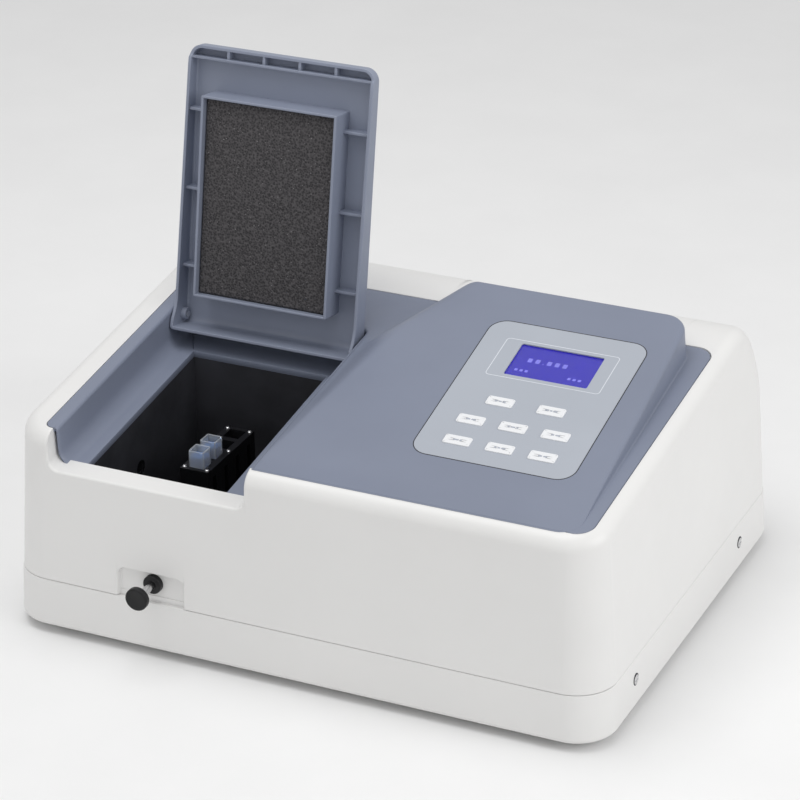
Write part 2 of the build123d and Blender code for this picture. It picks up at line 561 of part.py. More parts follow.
holder_mid = BEAM_Y + CELL_PITCH / 2
holder_y = (holder_mid - 37.0, holder_mid + 37.0)
cell_ys = [holder_mid + CELL_PITCH * (step - 1.5) for step in range(4)]
with BuildPart() as cell_holder:
    block((CELL_X - HOLDER_WIDTH / 2, CELL_X + HOLDER_WIDTH / 2), holder_y, (64, HOLDER_TOP_Z))
    block((RAIL_X[0] - 6, RAIL_X[1] + 6), (holder_y[0] + 8, holder_y[1] - 8), (52, 66))
    for y in cell_ys:
        block((CELL_X - WELL / 2, CELL_X + WELL / 2), (y - WELL / 2, y + WELL / 2),
              (CELL_FOOT_Z - 0.2, HOLDER_TOP_Z + 1), mode=Mode.SUBTRACT)
        block((CELL_X - 20, CELL_X + 20), (y - 2.5, y + 2.5), (CELL_FOOT_Z + 2, 112), mode=Mode.SUBTRACT)
    for x in RAIL_X:
        bar_y((x, ROD_Z), RAIL_R + 0.08, (-200, 100), mode=Mode.SUBTRACT)
    bar_y((CELL_X, ROD_Z), ROD_R, (-200, holder_y[0] + 20), mode=Mode.SUBTRACT)
cell_holder.part.label = "cell_holder"
export_step(cell_holder.part, "parts/cell_holder.step")

with BuildPart() as holder_screws:
    for x in (CELL_X - 9.2, CELL_X + 9.2):
        for y in (holder_y[0] + 3, cell_ys[1] + CELL_PITCH / 2, holder_y[1] - 3):
            pillar((x, y), 1.7, (HOLDER_TOP_Z, HOLDER_TOP_Z + 1.3))
holder_screws.part.label = "holder_screws"
export_step(holder_screws.part, "parts/holder_screws.step")

with BuildPart() as pull_rod:
    bar_y((CELL_X, ROD_Z), ROD_R, (FRONT - KNOB_REACH + 3, holder_y[0] + 20))
pull_rod.part.label = "pull_rod"
export_step(pull_rod.part, "parts/pull_rod.step")

with BuildPart() as pull_knob:
    bar_y((CELL_X, ROD_Z), 8.75, (FRONT - KNOB_REACH, FRONT - KNOB_REACH + 5))
    fillet(pull_knob.edges().filter_by(GeomType.CIRCLE).group_by(Axis.Y)[0], 1.6)
    bar_y((CELL_X, ROD_Z), ROD_R, (FRONT - KNOB_REACH + 3, FRONT), mode=Mode.SUBTRACT)
pull_knob.part.label = "pull_knob"
export_step(pull_knob.part, "parts/pull_knob.step")

with BuildPart() as rod_bushing:
    bar_y((CELL_X, ROD_Z), 7.2, (bay_wall_y - 4.5, bay_wall_y))
    fillet(rod_bushing.edges().filter_by(GeomType.CIRCLE).group_by(Axis.Y)[0], 1.2)
    bar_y((CELL_X, ROD_Z), 5.5, (bay_wall_y, bay_wall_y + 6))
    bar_y((CELL_X, ROD_Z), ROD_R + 0.06, (bay_wall_y - 20, bay_wall_y + 20), mode=Mode.SUBTRACT)
rod_bushing.part.label = "rod_bushing"
export_step(rod_bushing.part, "parts/rod_bushing.step")

half_cell = CELL_SIZE / 2
bore = half_cell - 1.2           # half the inside width of a cell
for index, y in enumerate(cell_ys[:2], start=1):
    with BuildPart() as cuvette:
        block((CELL_X - half_cell, CELL_X + half_cell), (y - half_cell, y + half_cell),
              (CELL_FOOT_Z, CELL_FOOT_Z + CELL_HEIGHT))
        block((CELL_X - bore, CELL_X + bore), (y - bore, y + bore), (CELL_FOOT_Z + 1.5, 200),
              mode=Mode.SUBTRACT)
    cuvette.part.label = f"cuvette_{index}"
    export_step(cuvette.part, f"parts/cuvette_{index}.step")
    with BuildPart() as liquid:
        block((CELL_X - bore, CELL_X + bore), (y - bore, y + bore), (CELL_FOOT_Z + 1.5, CELL_FOOT_Z + 39))
    liquid.part.label = f"sample_liquid_{index}"
    export_step(liquid.part, f"parts/sample_liquid_{index}.step")

# ================================================================ optics on the bench plate
CASE_X = (-52.0, 140.0)
CASE_Y = (-118.0, 66.0)
CASE_TOP = 118.0
CASE_T = 2.5
with BuildPart() as optical_bench:
    block((-216, 206), (-150, 176), (BENCH_Z, BENCH_TOP))
    for x in (-170, 0, 170):
        for y in (-125, 0, 150):
            pillar((x, y), 6, (CHASSIS_Z + CHASSIS_T, BENCH_Z))
optical_bench.part.label = "optical_bench"
export_step(optical_bench.part, "parts/optical_bench.step")

with BuildPart() as monochromator_case:
    block(CASE_X, CASE_Y, (BENCH_TOP, CASE_TOP))
    block((CASE_X[0] + CASE_T, CASE_X[1] - CASE_T), (CASE_Y[0] + CASE_T, CASE_Y[1] - CASE_T),
          (BENCH_TOP - 1, CASE_TOP - CASE_T), mode=Mode.SUBTRACT)
    bar_x((BEAM_Y, BEAM_Z), 5, (CASE_X[0] - 1, CASE_X[0] + 4), mode=Mode.SUBTRACT)
    bar_y((100, 75), 5, (CASE_Y[1] - 4, CASE_Y[1] + 1), mode=Mode.SUBTRACT)
monochromator_case.part.label = "monochromator_case"
export_step(monochromator_case.part, "parts/monochromator_case.step")

with BuildPart() as lens_tube:
    bar_x((BEAM_Y, BEAM_Z), 10, (box_x[1], CASE_X[0]))
    bar_x((BEAM_Y, BEAM_Z), 5, (box_x[1] - 1, CASE_X[0] + 1), mode=Mode.SUBTRACT)
lens_tube.part.label = "lens_tube"
export_step(lens_tube.part, "parts/lens_tube.step")

with BuildPart() as slit_plate:
    block((85, 115), (CASE_Y[1] - 4.5, CASE_Y[1] - 2.5), (60, 90))
    block((99.5, 100.5), (CASE_Y[1] - 6, CASE_Y[1] - 1), (69, 81), mode=Mode.SUBTRACT)
slit_plate.part.label = "slit_plate"
export_step(slit_plate.part, "parts/slit_plate.step")

with BuildPart() as concave_mirrors:
    for x in (40, 100):
        block((x - 21, x + 21), (-114, -104), (BENCH_TOP, 104))
        with BuildSketch(Plane(origin=(x, -104 + 78, 85), x_dir=(1, 0, 0), z_dir=(0, 0, 1)).offset(-40)):
            Circle(80)
        extrude(amount=80, mode=Mode.SUBTRACT)
concave_mirrors.part.label = "concave_mirrors"
export_step(concave_mirrors.part, "parts/concave_mirrors.step")

GRATING_AT = (50.0, 10.0)
with BuildPart() as grating_motor:
    block((GRATING_AT[0] - 17.5, GRATING_AT[0] + 17.5), (GRATING_AT[1] - 17.5, GRATING_AT[1] + 17.5),
          (BENCH_TOP, 54))
    pillar(GRATING_AT, 2.5 + RUNNING_GAP, (40, 60), mode=Mode.SUBTRACT)
grating_motor.part.label = "grating_motor"
export_step(grating_motor.part, "parts/grating_motor.step")

with BuildPart() as grating_table:
    pillar(GRATING_AT, 2.5, (41, 60))
    pillar(GRATING_AT, 19, (56, 61))
    block((GRATING_AT[0] - 17, GRATING_AT[0] + 17), (GRATING_AT[1], GRATING_AT[1] + 5), (61, 92))
grating_table.part.label = "grating_table"
export_step(grating_table.part, "parts/grating_table.step")

with BuildPart() as grating:
    block((GRATING_AT[0] - 15, GRATING_AT[0] + 15), (GRATING_AT[1] - 6, GRATING_AT[1]), (62, 92))
grating.part.label = "grating"
export_step(grating.part, "parts/grating.step")

WHEEL_AT = (118.0, 75.0)
with BuildPart() as filter_wheel:
    bar_y(WHEEL_AT, 25, (75, 78))
    for turn in range(6):
        angle = radians(60 * turn + 180)
        hole = (WHEEL_AT[0] + 18 * cos(angle), WHEEL_AT[1] + 18 * sin(angle))
        bar_y(hole, 5.5, (74, 79), mode=Mode.SUBTRACT)
    bar_y(WHEEL_AT, 3, (68, 84))
filter_wheel.part.label = "filter_wheel"
export_step(filter_wheel.part, "parts/filter_wheel.step")

LAMP_AT = (100.0, 75.0)
with BuildPart() as lamp_house:
    block((70, 150), (84, 146), (BENCH_TOP, 122))
    block((72, 148), (86, 144), (BENCH_TOP - 1, 120), mode=Mode.SUBTRACT)
    bar_y(LAMP_AT, 8, (83, 87), mode=Mode.SUBTRACT)
    bar_y(WHEEL_AT, 3 + 0.3, (83, 87), mode=Mode.SUBTRACT)
    for row in range(5):
        block((80, 140), (143, 147), (92 + 5 * row, 94.5 + 5 * row), mode=Mode.SUBTRACT)
lamp_house.part.label = "lamp_house"
export_step(lamp_house.part, "parts/lamp_house.step")

with BuildPart() as lamp_socket:
    pillar((LAMP_AT[0], 108), 9, (BENCH_TOP, 56))
    for x in (-3, 3):
        pillar((LAMP_AT[0] + x, 108), 0.6, (50, 60), mode=Mode.SUBTRACT)
lamp_socket.part.label = "lamp_socket"
export_step(lamp_socket.part, "parts/lamp_socket.step")

with BuildPart() as halogen_lamp:
    for x in (-3, 3):
        pillar((LAMP_AT[0] + x, 108), 0.6, (50, 60))
    block((LAMP_AT[0] - 5, LAMP_AT[0] + 5), (106, 110), (58, 66))
    pillar((LAMP_AT[0], 108), 5.8, (62, 94))
    fillet(halogen_lamp.edges().filter_by(GeomType.CIRCLE).sort_by(Axis.Z)[-1], 5)
halogen_lamp.part.label = "halogen_lamp"
export_step(halogen_lamp.part, "parts/halogen_lamp.step")

with BuildPart() as condenser_mirror:
    block((LAMP_AT[0] - 20, LAMP_AT[0] + 20), (122, 134), (BENCH_TOP, 98))
    with BuildSketch(Plane(origin=(LAMP_AT[0], 134 - 9 - 30, 75), x_dir=(1, 0, 0), z_dir=(0, -1, 0))):
        with BuildLine():
            Line((0, -35), (0, 35))
            ThreePointArc((0, 35), (35, 0), (0, -35))
        make_face()
    revolve(axis=Axis((LAMP_AT[0], 134 - 9 - 30, 75), (0, 0, 1)), mode=Mode.SUBTRACT)
condenser_mirror.part.label = "condenser_mirror"
export_step(condenser_mirror.part, "parts/condenser_mirror.step")

with BuildPart() as detector_house:
    block((-214, box_x[0]), (BEAM_Y - 18, BEAM_Y + 18), (78, 113))
    block((-212, box_x[0] - 2), (BEAM_Y - 16, BEAM_Y + 16), (80, 111), mode=Mode.SUBTRACT)
    bar_x((BEAM_Y, BEAM_Z), 5, (box_x[0] - 3, box_x[0] + 1), mode=Mode.SUBTRACT)
    block((-212, -188), (BEAM_Y - 10, BEAM_Y + 10), (BENCH_TOP, 78))
detector_house.part.label = "detector_house"
export_step(detector_house.part, "parts/detector_house.step")

with BuildPart() as photodiode:
    bar_x((BEAM_Y, BEAM_Z), 7, (-200, -196))
    bar_x((BEAM_Y, BEAM_Z), 5.5, (-196, -192))
    block((-212, -200), (BEAM_Y - 12, BEAM_Y + 12), (85, 106))
photodiode.part.label = "photodiode"
export_step(photodiode.part, "parts/photodiode.step")

# ================================================================ electronics and rear panel
with BuildPart() as main_board:
    block((-200, -20), (72, 168), (36, 37.6))
    for x in (-192, -28):
        for y in (78, 162):
            pillar((x, y), 3, (BENCH_TOP, 36))
    for x, y, size, tall in ((-150, 100, 22, 3), (-110, 125, 14, 3), (-70, 92, 18, 4), (-60, 135, 10, 9),
                             (-160, 145, 12, 12), (-40, 105, 9, 14)):
        block((x - size / 2, x + size / 2), (y - size / 2, y + size / 2), (37.6, 37.6 + tall))
main_board.part.label = "main_board"
export_step(main_board.part, "parts/main_board.step")

with BuildPart() as power_supply:
    block((156, 204), (-100, 50), (BENCH_TOP, 66))
    block((158, 202), (-98, 48), (BENCH_TOP + 2, 64), mode=Mode.SUBTRACT)
    with BuildSketch(Plane.XY.offset(62)):
        with Locations((180, -25)):
            with GridLocations(8, 10, 4, 11):
                SlotOverall(6, 3)
    extrude(amount=6, mode=Mode.SUBTRACT)
power_supply.part.label = "power_supply"
export_step(power_supply.part, "parts/power_supply.step")

FAN_AT = (90.0, 86.0)
BLADE_PITCH = radians(32)
MODULE_X = 160.0
ROCKER_AXIS = (184.0, 105.5)      # (y, z), just behind the face of the switch
with BuildPart() as rear_panel:
    block((PANEL_X[0] - 7, PANEL_X[1] + 7), (PANEL_Y, PANEL_Y + PANEL_T), (PANEL_Z[0] - 7, PANEL_Z[1] + 6))
    bar_y(FAN_AT, 27, (PANEL_Y - 1, PANEL_Y + 3), mode=Mode.SUBTRACT)
    block((MODULE_X - 13.5, MODULE_X + 13.5), (PANEL_Y - 1, PANEL_Y + 3), (58.5, 113.5), mode=Mode.SUBTRACT)
    block((24, 36), (PANEL_Y - 1, PANEL_Y + 3), (94.5, 105.5), mode=Mode.SUBTRACT)
    block((20.5, 39.5), (PANEL_Y - 1, PANEL_Y + 3), (68, 78), mode=Mode.SUBTRACT)
rear_panel.part.label = "rear_panel"
export_step(rear_panel.part, "parts/rear_panel.step")

outer_face = PANEL_Y + PANEL_T
with BuildPart() as power_inlet:
    block((MODULE_X - 16, MODULE_X + 16), (outer_face, outer_face + 2.5), (56, 116))
    block((MODULE_X - 13.5, MODULE_X + 13.5), (160, outer_face), (58.5, 113.5))
    block((MODULE_X - 9.5, MODULE_X + 9.5), (170, 200), (99, 112), mode=Mode.SUBTRACT)
    block((MODULE_X - 12, MODULE_X + 12), (166, 200), (75.5, 95.5), mode=Mode.SUBTRACT)
    block((MODULE_X - 11, MODULE_X + 11), (166, 200), (60.5, 71.5), mode=Mode.SUBTRACT)
    for x, z in ((0, 88.5), (-7, 82.5), (7, 82.5)):
        block((MODULE_X + x - 1, MODULE_X + x + 1), (166, 182), (z - 2, z + 2))
    bar_x(ROCKER_AXIS, 1.4, (MODULE_X - 12.5, MODULE_X + 12.5), mode=Mode.SUBTRACT)
power_inlet.part.label = "power_inlet"
export_step(power_inlet.part, "parts/power_inlet.step")

with BuildPart() as power_rocker:
    with BuildSketch(Plane(origin=(MODULE_X - 9, *ROCKER_AXIS), x_dir=(0, 1, 0), z_dir=(1, 0, 0))):
        with BuildLine():
            Polyline((3.0, -5.2), (1.6, 0), (5.6, 5.2), (-3.0, 4.6), (-6.0, 0), (-3.0, -4.6), close=True)
        make_face()
    extrude(amount=18)
    bar_x(ROCKER_AXIS, 1.35, (MODULE_X - 12, MODULE_X + 12))
power_rocker.part.label = "power_rocker"
export_step(power_rocker.part, "parts/power_rocker.step")

with BuildPart() as fuse_drawer:
    block((MODULE_X - 10.8, MODULE_X + 10.8), (168, outer_face + 2.5), (60.7, 71.3))
    block((MODULE_X - 4, MODULE_X + 4), (outer_face + 1, outer_face + 4), (69, 73), mode=Mode.SUBTRACT)
fuse_drawer.part.label = "fuse_drawer"
export_step(fuse_drawer.part, "parts/fuse_drawer.step")

with BuildPart() as fan_frame:
    block((FAN_AT[0] - 30, FAN_AT[0] + 30), (PANEL_Y - 20, PANEL_Y), (FAN_AT[1] - 30, FAN_AT[1] + 30))
    bar_y(FAN_AT, 28.5, (PANEL_Y - 21, PANEL_Y + 1), mode=Mode.SUBTRACT)
    bar_y(FAN_AT, 12, (PANEL_Y - 20, PANEL_Y - 17))
    block((FAN_AT[0] - 29, FAN_AT[0] + 29), (PANEL_Y - 20, PANEL_Y - 18), (FAN_AT[1] - 2, FAN_AT[1] + 2))
    block((FAN_AT[0] - 2, FAN_AT[0] + 2), (PANEL_Y - 20, PANEL_Y - 18), (FAN_AT[1] - 29, FAN_AT[1] + 29))
    bar_y(FAN_AT, 1.5, (PANEL_Y - 17, PANEL_Y - 8))
fan_frame.part.label = "fan_frame"
export_step(fan_frame.part, "parts/fan_frame.step")

with BuildPart() as fan_rotor:
    bar_y(FAN_AT, 12, (PANEL_Y - 16.5, PANEL_Y - 3))
    for blade in range(7):
        turn = radians(360 / 7 * blade)
        chord = (-sin(turn) * sin(BLADE_PITCH), cos(BLADE_PITCH), cos(turn) * sin(BLADE_PITCH))
        blade_plane = Plane(origin=(FAN_AT[0], PANEL_Y - 9.5, FAN_AT[1]), x_dir=chord,
                            z_dir=(cos(turn), 0, sin(turn)))
        with BuildSketch(blade_plane.offset(11)):
            Rectangle(13, 1.4)
        extrude(amount=15)
    bar_y(FAN_AT, 1.5 + 0.06, (PANEL_Y - 17, PANEL_Y - 7.5), mode=Mode.SUBTRACT)
fan_rotor.part.label = "fan_rotor"
export_step(fan_rotor.part, "parts/fan_rotor.step")

with BuildPart() as fan_guard:
    for radius in (7, 13.5, 20, 26.5):
        bar_y(FAN_AT, radius + 0.8, (outer_face + 0.8, outer_face + 2.4))
        bar_y(FAN_AT, radius - 0.8, (outer_face, outer_face + 3), mode=Mode.SUBTRACT)
    for turn in (45, 135):
        along = (cos(radians(turn)), 0, sin(radians(turn)))
        guard_plane = Plane(origin=(FAN_AT[0], outer_face, FAN_AT[1]), x_dir=along, z_dir=(0, 1, 0))
        slab(guard_plane, (-34, 34), (-0.8, 0.8), (0, 1.2))
fan_guard.part.label = "fan_guard"
export_step(fan_guard.part, "parts/fan_guard.step")

with BuildPart() as usb_port:
    block((24, 36), (170, outer_face + 1), (94.5, 105.5))
    block((25.5, 34.5), (174, 200), (96, 104), mode=Mode.SUBTRACT)
    block((27.3, 32.7), (174, 184), (98.5, 101.7))
usb_port.part.label = "usb_port"
export_step(usb_port.part, "parts/usb_port.step")

with BuildPart() as serial_port:
    block((14.5, 45.5), (outer_face, outer_face + 1), (66.8, 79.2))
    block((20.5, 39.5), (172, outer_face + 6), (68, 78))
    block((21.5, 38.5), (outer_face + 1, 200), (69, 77), mode=Mode.SUBTRACT)
    block((22.5, 37.5), (outer_face + 1, outer_face + 5.5), (70.2, 75.8))
serial_port.part.label = "serial_port"
export_step(serial_port.part, "parts/serial_port.step")
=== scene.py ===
"""Looks of a bench spectrophotometer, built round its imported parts.

Every length is in millimetres until mesh_piece() scales it to metres. The frame is the parts' own:
+X to the operator's right, +Y to the back, +Z up, and the origin is on the bench.
"""
import json

import bpy
import numpy as np
from mathutils import Matrix, Vector


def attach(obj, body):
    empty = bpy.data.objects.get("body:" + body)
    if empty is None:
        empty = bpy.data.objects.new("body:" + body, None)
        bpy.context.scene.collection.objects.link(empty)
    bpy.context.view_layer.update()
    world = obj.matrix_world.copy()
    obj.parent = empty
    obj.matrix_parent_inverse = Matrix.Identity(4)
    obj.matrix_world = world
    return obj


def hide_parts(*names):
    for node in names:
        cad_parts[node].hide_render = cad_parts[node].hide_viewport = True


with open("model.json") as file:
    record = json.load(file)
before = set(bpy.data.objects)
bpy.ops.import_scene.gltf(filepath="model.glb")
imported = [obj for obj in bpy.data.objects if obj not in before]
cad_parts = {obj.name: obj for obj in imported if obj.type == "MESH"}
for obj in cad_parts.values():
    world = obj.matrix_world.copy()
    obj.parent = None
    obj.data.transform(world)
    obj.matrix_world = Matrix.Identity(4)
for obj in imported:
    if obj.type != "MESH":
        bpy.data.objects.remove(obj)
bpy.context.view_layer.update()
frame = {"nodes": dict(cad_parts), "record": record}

MM = 0.001
QUARTER = np.pi / 2

# ------------------------------------------------------------------ driving sizes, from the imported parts
WIDTH = 470.0
FRONT, BACK = -172.0, 194.0
TRAY_Z, SEAM_Z, SEAM_GAP = 6.0, 45.0, 0.6
LEAN = np.tan(np.radians(2.8))             # inward lean of the outer walls
CORNER_R = 31.0
TOP_FRONT_Z, TOP_SLOPE = 159.6, 0.12
REAR_R, EDGE_R = 74.0, 10.5
DECK_X, DECK_Y, DECK_R = (-204.0, 216.0), (-154.0, 95.0), 13.0
RECESS_X, RECESS_BACK, RECESS_DEPTH = (-193.0, -38.5), 41.5, 28.5
OPENING_X, OPENING_Y = (-173.5, -61.5), (-149.0, 16.0)
NOTCH_X, NOTCH_DEPTH = (-196.0, -38.5), 27.0
BAY_X, BAY_TOP, BAY_DEPTH = (-141.0, -88.0), 67.5, 3.5
PANEL_X, PANEL_Z, PANEL_DEPTH = (-4.0, 184.0), (54.0, 118.0), 8.0
CONSOLE_FRONT, CONSOLE_SLOPE = -139.0, 0.2287
OVERLAY_X, OVERLAY_Y, OVERLAY_R = (60.0, 182.5), (-104.0, 52.0), 13.4
LCD_X, LCD_Y = (91.0, 155.0), (-6.0, 30.0)
KEY_SIZE = (20.5, 9.6)
KEY_PLACES = ([(102.0, -37.0), (141.0, -37.0)] + [(x, -61.0) for x in (89.8, 122.0, 154.2)]
              + [(x, -84.5) for x in (89.8, 122.0, 154.2)])
LID_X, LID_LENGTH, LID_SKIN, LID_T = (-192.0, -40.0), 208.0, -7.9, 2.5
HINGE_Y = 31.0
FOAM_X, FOAM_L, FOAM_D = (-171.0, -64.0), (21.7, 171.7), 14.1
CELL_X, CELL_YS, ROD_Z = -113.0, (-90.5, -72.5), 59.0
HOLDER_SCREW_YS, HOLDER_TOP = (-97.5, -63.5, -29.5), 119.1
TRAY_SCREW_YS, TRAY_SCREW_Z = (-105.0, 112.0), 28.0
FAN_CENTRE = (90.0, 186.9, 86.0)
CAMERA_AT, CAMERA_TURN, LENS = (0.8996, -1.9066, 1.1827), (25.106, 26.046, -0.824), 143.76
LIGHTS = (("key", (1.7, -0.2, 1.0), 1.0, 9.0), ("fill", (0.3, -2.0, 1.5), 1.4, 1.5),
          ("top", (-0.3, -0.2, 1.9), 1.2, 13.0))      # name, place and size in metres, watts


def top_z(y):
    """Height of the sloping top plane at depth y."""
    return TOP_FRONT_Z + TOP_SLOPE * (y - FRONT)


class Plane:
    """A flat frame: an origin, and unit directions x, y and z as the rows of axes."""

    def __init__(self, origin, x, z):
        x, z = np.array(x, float), np.array(z, float)
        self.origin = np.array(origin, float)
        length = np.linalg.norm(z)
        self.axes = np.stack([x / np.linalg.norm(x), np.cross(z, x) / length, z / length])

    def place(self, points):
        """Local (x, y, z) points, in an array of any shape, put into the shared frame: the origin plus
        each coordinate times its direction."""
        return self.origin + np.asarray(points, float) @ self.axes


WORLD = Plane((0, 0, 0), (1, 0, 0), (0, 0, 1))
CONSOLE = Plane((0, CONSOLE_FRONT, top_z(CONSOLE_FRONT)), (1, 0, 0), (0, -CONSOLE_SLOPE, 1))
HINGE_Z = top_z(HINGE_Y) + LID_SKIN * np.hypot(1, TOP_SLOPE)
LID = Plane((0, HINGE_Y, HINGE_Z), (1, 0, 0), (0, -np.cos(np.radians(10)), np.sin(np.radians(10))))


def up_console(y):
    """Distance up the console plane of depth y."""
    return (np.asarray(y, float) - CONSOLE_FRONT) * np.hypot(1, CONSOLE_SLOPE)


# ------------------------------------------------------------------ mesh tools
class Skin:
    """Collects grids of points into one mesh."""

    def __init__(self):
        self.points, self.faces, self.count, self.tags = [], [], 0, []

    def grid(self, points, around=False, flip=False, tag=0, ends=(False, False)):
        """Quads between neighbouring points of an array (rows, columns, 3). around joins the last column
        to the first, and ends closes the first and last rows with a fan to the middle of the row."""
        rows, columns = points.shape[:2]
        index = np.arange(rows * columns).reshape(rows, columns) + self.count
        if around:
            index = np.concatenate([index, index[:, :1]], axis=1)
        quads = np.stack([index[:-1, :-1], index[:-1, 1:], index[1:, 1:], index[1:, :-1]], -1).reshape(-1, 4)
        quads = quads[:, ::-1] if flip else quads
        self.points.append(points.reshape(-1, 3))
        self.faces.append(quads)
        self.tags.append(np.full(len(quads), tag))
        self.count += rows * columns
        for wanted, row, turn in ((ends[0], 0, True), (ends[1], -1, False)):
            if wanted:
                ring = index[row]
                hub = np.full(len(ring) - 1, self.count)
                fan = np.stack([ring[:-1], ring[1:], hub, hub], -1)
                self.points.append(points[row].mean(0)[None])
                self.faces.append(fan[:, ::-1] if flip != turn else fan)
                self.tags.append(np.full(len(fan), tag))
                self.count += 1
        return self


def mesh_piece(name, skin, body, finishes, nodes=(), sharp=40.0, solid=0.0, weighted=True):
    """Makes the object from a skin: merges equal points, drops faces of no area, marks edges sharper than
    sharp degrees, and thickens an open skin inwards by solid."""
    points = np.concatenate(skin.points)
    faces, tags = np.concatenate(skin.faces), np.concatenate(skin.tags)
    _, first, inverse = np.unique(np.round(points, 4), axis=0, return_index=True, return_inverse=True)
    points, faces = points[first], inverse.reshape(-1)[faces]
    mesh = bpy.data.meshes.new(name)
    kept, kept_tags = [], []
    for face, tag in zip(faces.tolist(), tags.tolist()):
        corners = [a for k, a in enumerate(face) if a != face[k - 1]]
        if len(set(corners)) == len(corners) > 2:
            kept.append(corners)
            kept_tags.append(tag)
    mesh.from_pydata((points * MM).tolist(), [], kept)
    mesh.polygons.foreach_set("material_index", kept_tags)
    mesh.shade_smooth()
    mesh.set_sharp_from_angle(angle=np.radians(sharp))
    piece = bpy.data.objects.new(name, mesh)
    bpy.context.scene.collection.objects.link(piece)
    for finish in finishes if isinstance(finishes, (list, tuple)) else [finishes]:
        mesh.materials.append(finish)
    if solid:
        wall = piece.modifiers.new("wall", "SOLIDIFY")
        wall.thickness, wall.offset, wall.use_even_offset = solid * MM, -1, False
    if weighted:
        even = piece.modifiers.new("even shading", "WEIGHTED_NORMAL")
        even.keep_sharp = True
    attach(piece, body)
    if nodes:
        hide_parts(*nodes)
    return piece


def rounded_rectangle(xs, ys, radius, steps=8, sides=1):
    """Closed outline, anticlockwise from the lower left corner, of a rectangle whose corners are quarter
    circles, of one radius or of four. Returns the points and their outward directions, each (count, 2)."""
    turn = np.linspace(0, QUARTER, steps + 1)
    radii = (radius,) * 4 if np.isscalar(radius) else radius
    corners = [(xs[0], ys[0], 1, 1, 2), (xs[1], ys[0], -1, 1, 3), (xs[1], ys[1], -1, -1, 0),
               (xs[0], ys[1], 1, -1, 1)]
    points, outward = [], []
    for (x, y, right, up, quarter), r in zip(corners, radii):
        angle = turn + quarter * QUARTER
        normal = np.stack([np.cos(angle), np.sin(angle)], -1)
        points.append(np.array([x + right * r, y + up * r]) + r * normal)
        outward.append(normal)
    if sides > 1:
        for k in range(4):
            share = np.linspace(0, 1, sides + 1)[1:-1, None]
            start, end = points[k][-1], points[(k + 1) % 4][0]
            points[k] = np.concatenate([points[k], start + share * (end - start)])
            outward[k] = np.concatenate([outward[k], np.repeat(outward[k][-1:], sides - 1, 0)])
    return np.concatenate(points), np.concatenate(outward)


def arc(centre, radius, start, end, steps=6):
    """Points (offset, height) on a circle from one angle to another, in degrees."""
    angle = np.radians(np.linspace(start, end, steps + 1))
    return np.stack([centre[0] + radius * np.cos(angle), centre[1] + radius * np.sin(angle)], -1)


def ring_loft(outline, outward, profile, plane=WORLD):
    """Surface swept by a profile of (outward offset, height) points carried round an outline in a plane."""
    profile = np.asarray(profile, float)
    flat = outline[None] + profile[:, None, :1] * outward[None]
    height = np.broadcast_to(profile[:, None, 1:], flat.shape[:2] + (1,))
    return plane.place(np.concatenate([flat, height], -1))


def slab(skin, plane, xs, ys, zs, corner=1.0, edge=0.5, tag=0, steps=5):
    """Adds a closed slab with rounded corners and rounded upper edges to a skin."""
    outline, outward = rounded_rectangle(xs, ys, corner, steps)
    profile = np.concatenate([[(0, zs[0])], arc((-edge, zs[1] - edge), edge, 0, 90, 4)])
    skin.grid(ring_loft(outline, outward, profile, plane), around=True, tag=tag, ends=(True, True))
    return skin


def lathe(skin, centre, axis, profile, steps=48, tag=0, ends=(True, True)):
    """Adds a body of revolution: a profile of (radius, height) turned about an axis through the centre."""
    axis = np.array(axis, float)
    side = np.cross(axis, (0, 0, 1)) if abs(axis[2]) < 0.9 else np.array((1.0, 0, 0))
    turned = Plane(centre, side, axis)
    angle = np.linspace(0, 2 * np.pi, steps, endpoint=False)
    circle = np.stack([np.cos(angle), np.sin(angle)], -1)
    profile = np.asarray(profile, float)
    skin.grid(ring_loft(np.zeros_like(circle), circle, profile, turned), around=True, tag=tag, ends=ends)
    return skin


def tube_ring(skin, outline, outward, radius, plane, height=0.0, steps=8):
    """Adds a bead of round section carried round a closed outline."""
    turn = np.linspace(0, 2 * np.pi, steps + 1)
    profile = np.stack([radius * np.cos(turn), height + radius * np.sin(turn)], -1)
    skin.grid(ring_loft(outline, outward, profile, plane), around=True)
    return skin


def smoothstep(value):
    """Rises from 0 to 1 as the value does: three times its square less twice its cube."""
    value = np.clip(value, 0, 1)
    return value * value * (3 - 2 * value)


def round_max(a, b, radius):
    """The larger of two distances, with the edge where they meet rounded to a radius: near the
    corner it is the length of the two overshoots, less the radius."""
    inner = np.minimum(np.maximum(a, b), -radius)
    return inner + np.hypot(np.maximum(a + radius, 0), np.maximum(b + radius, 0))


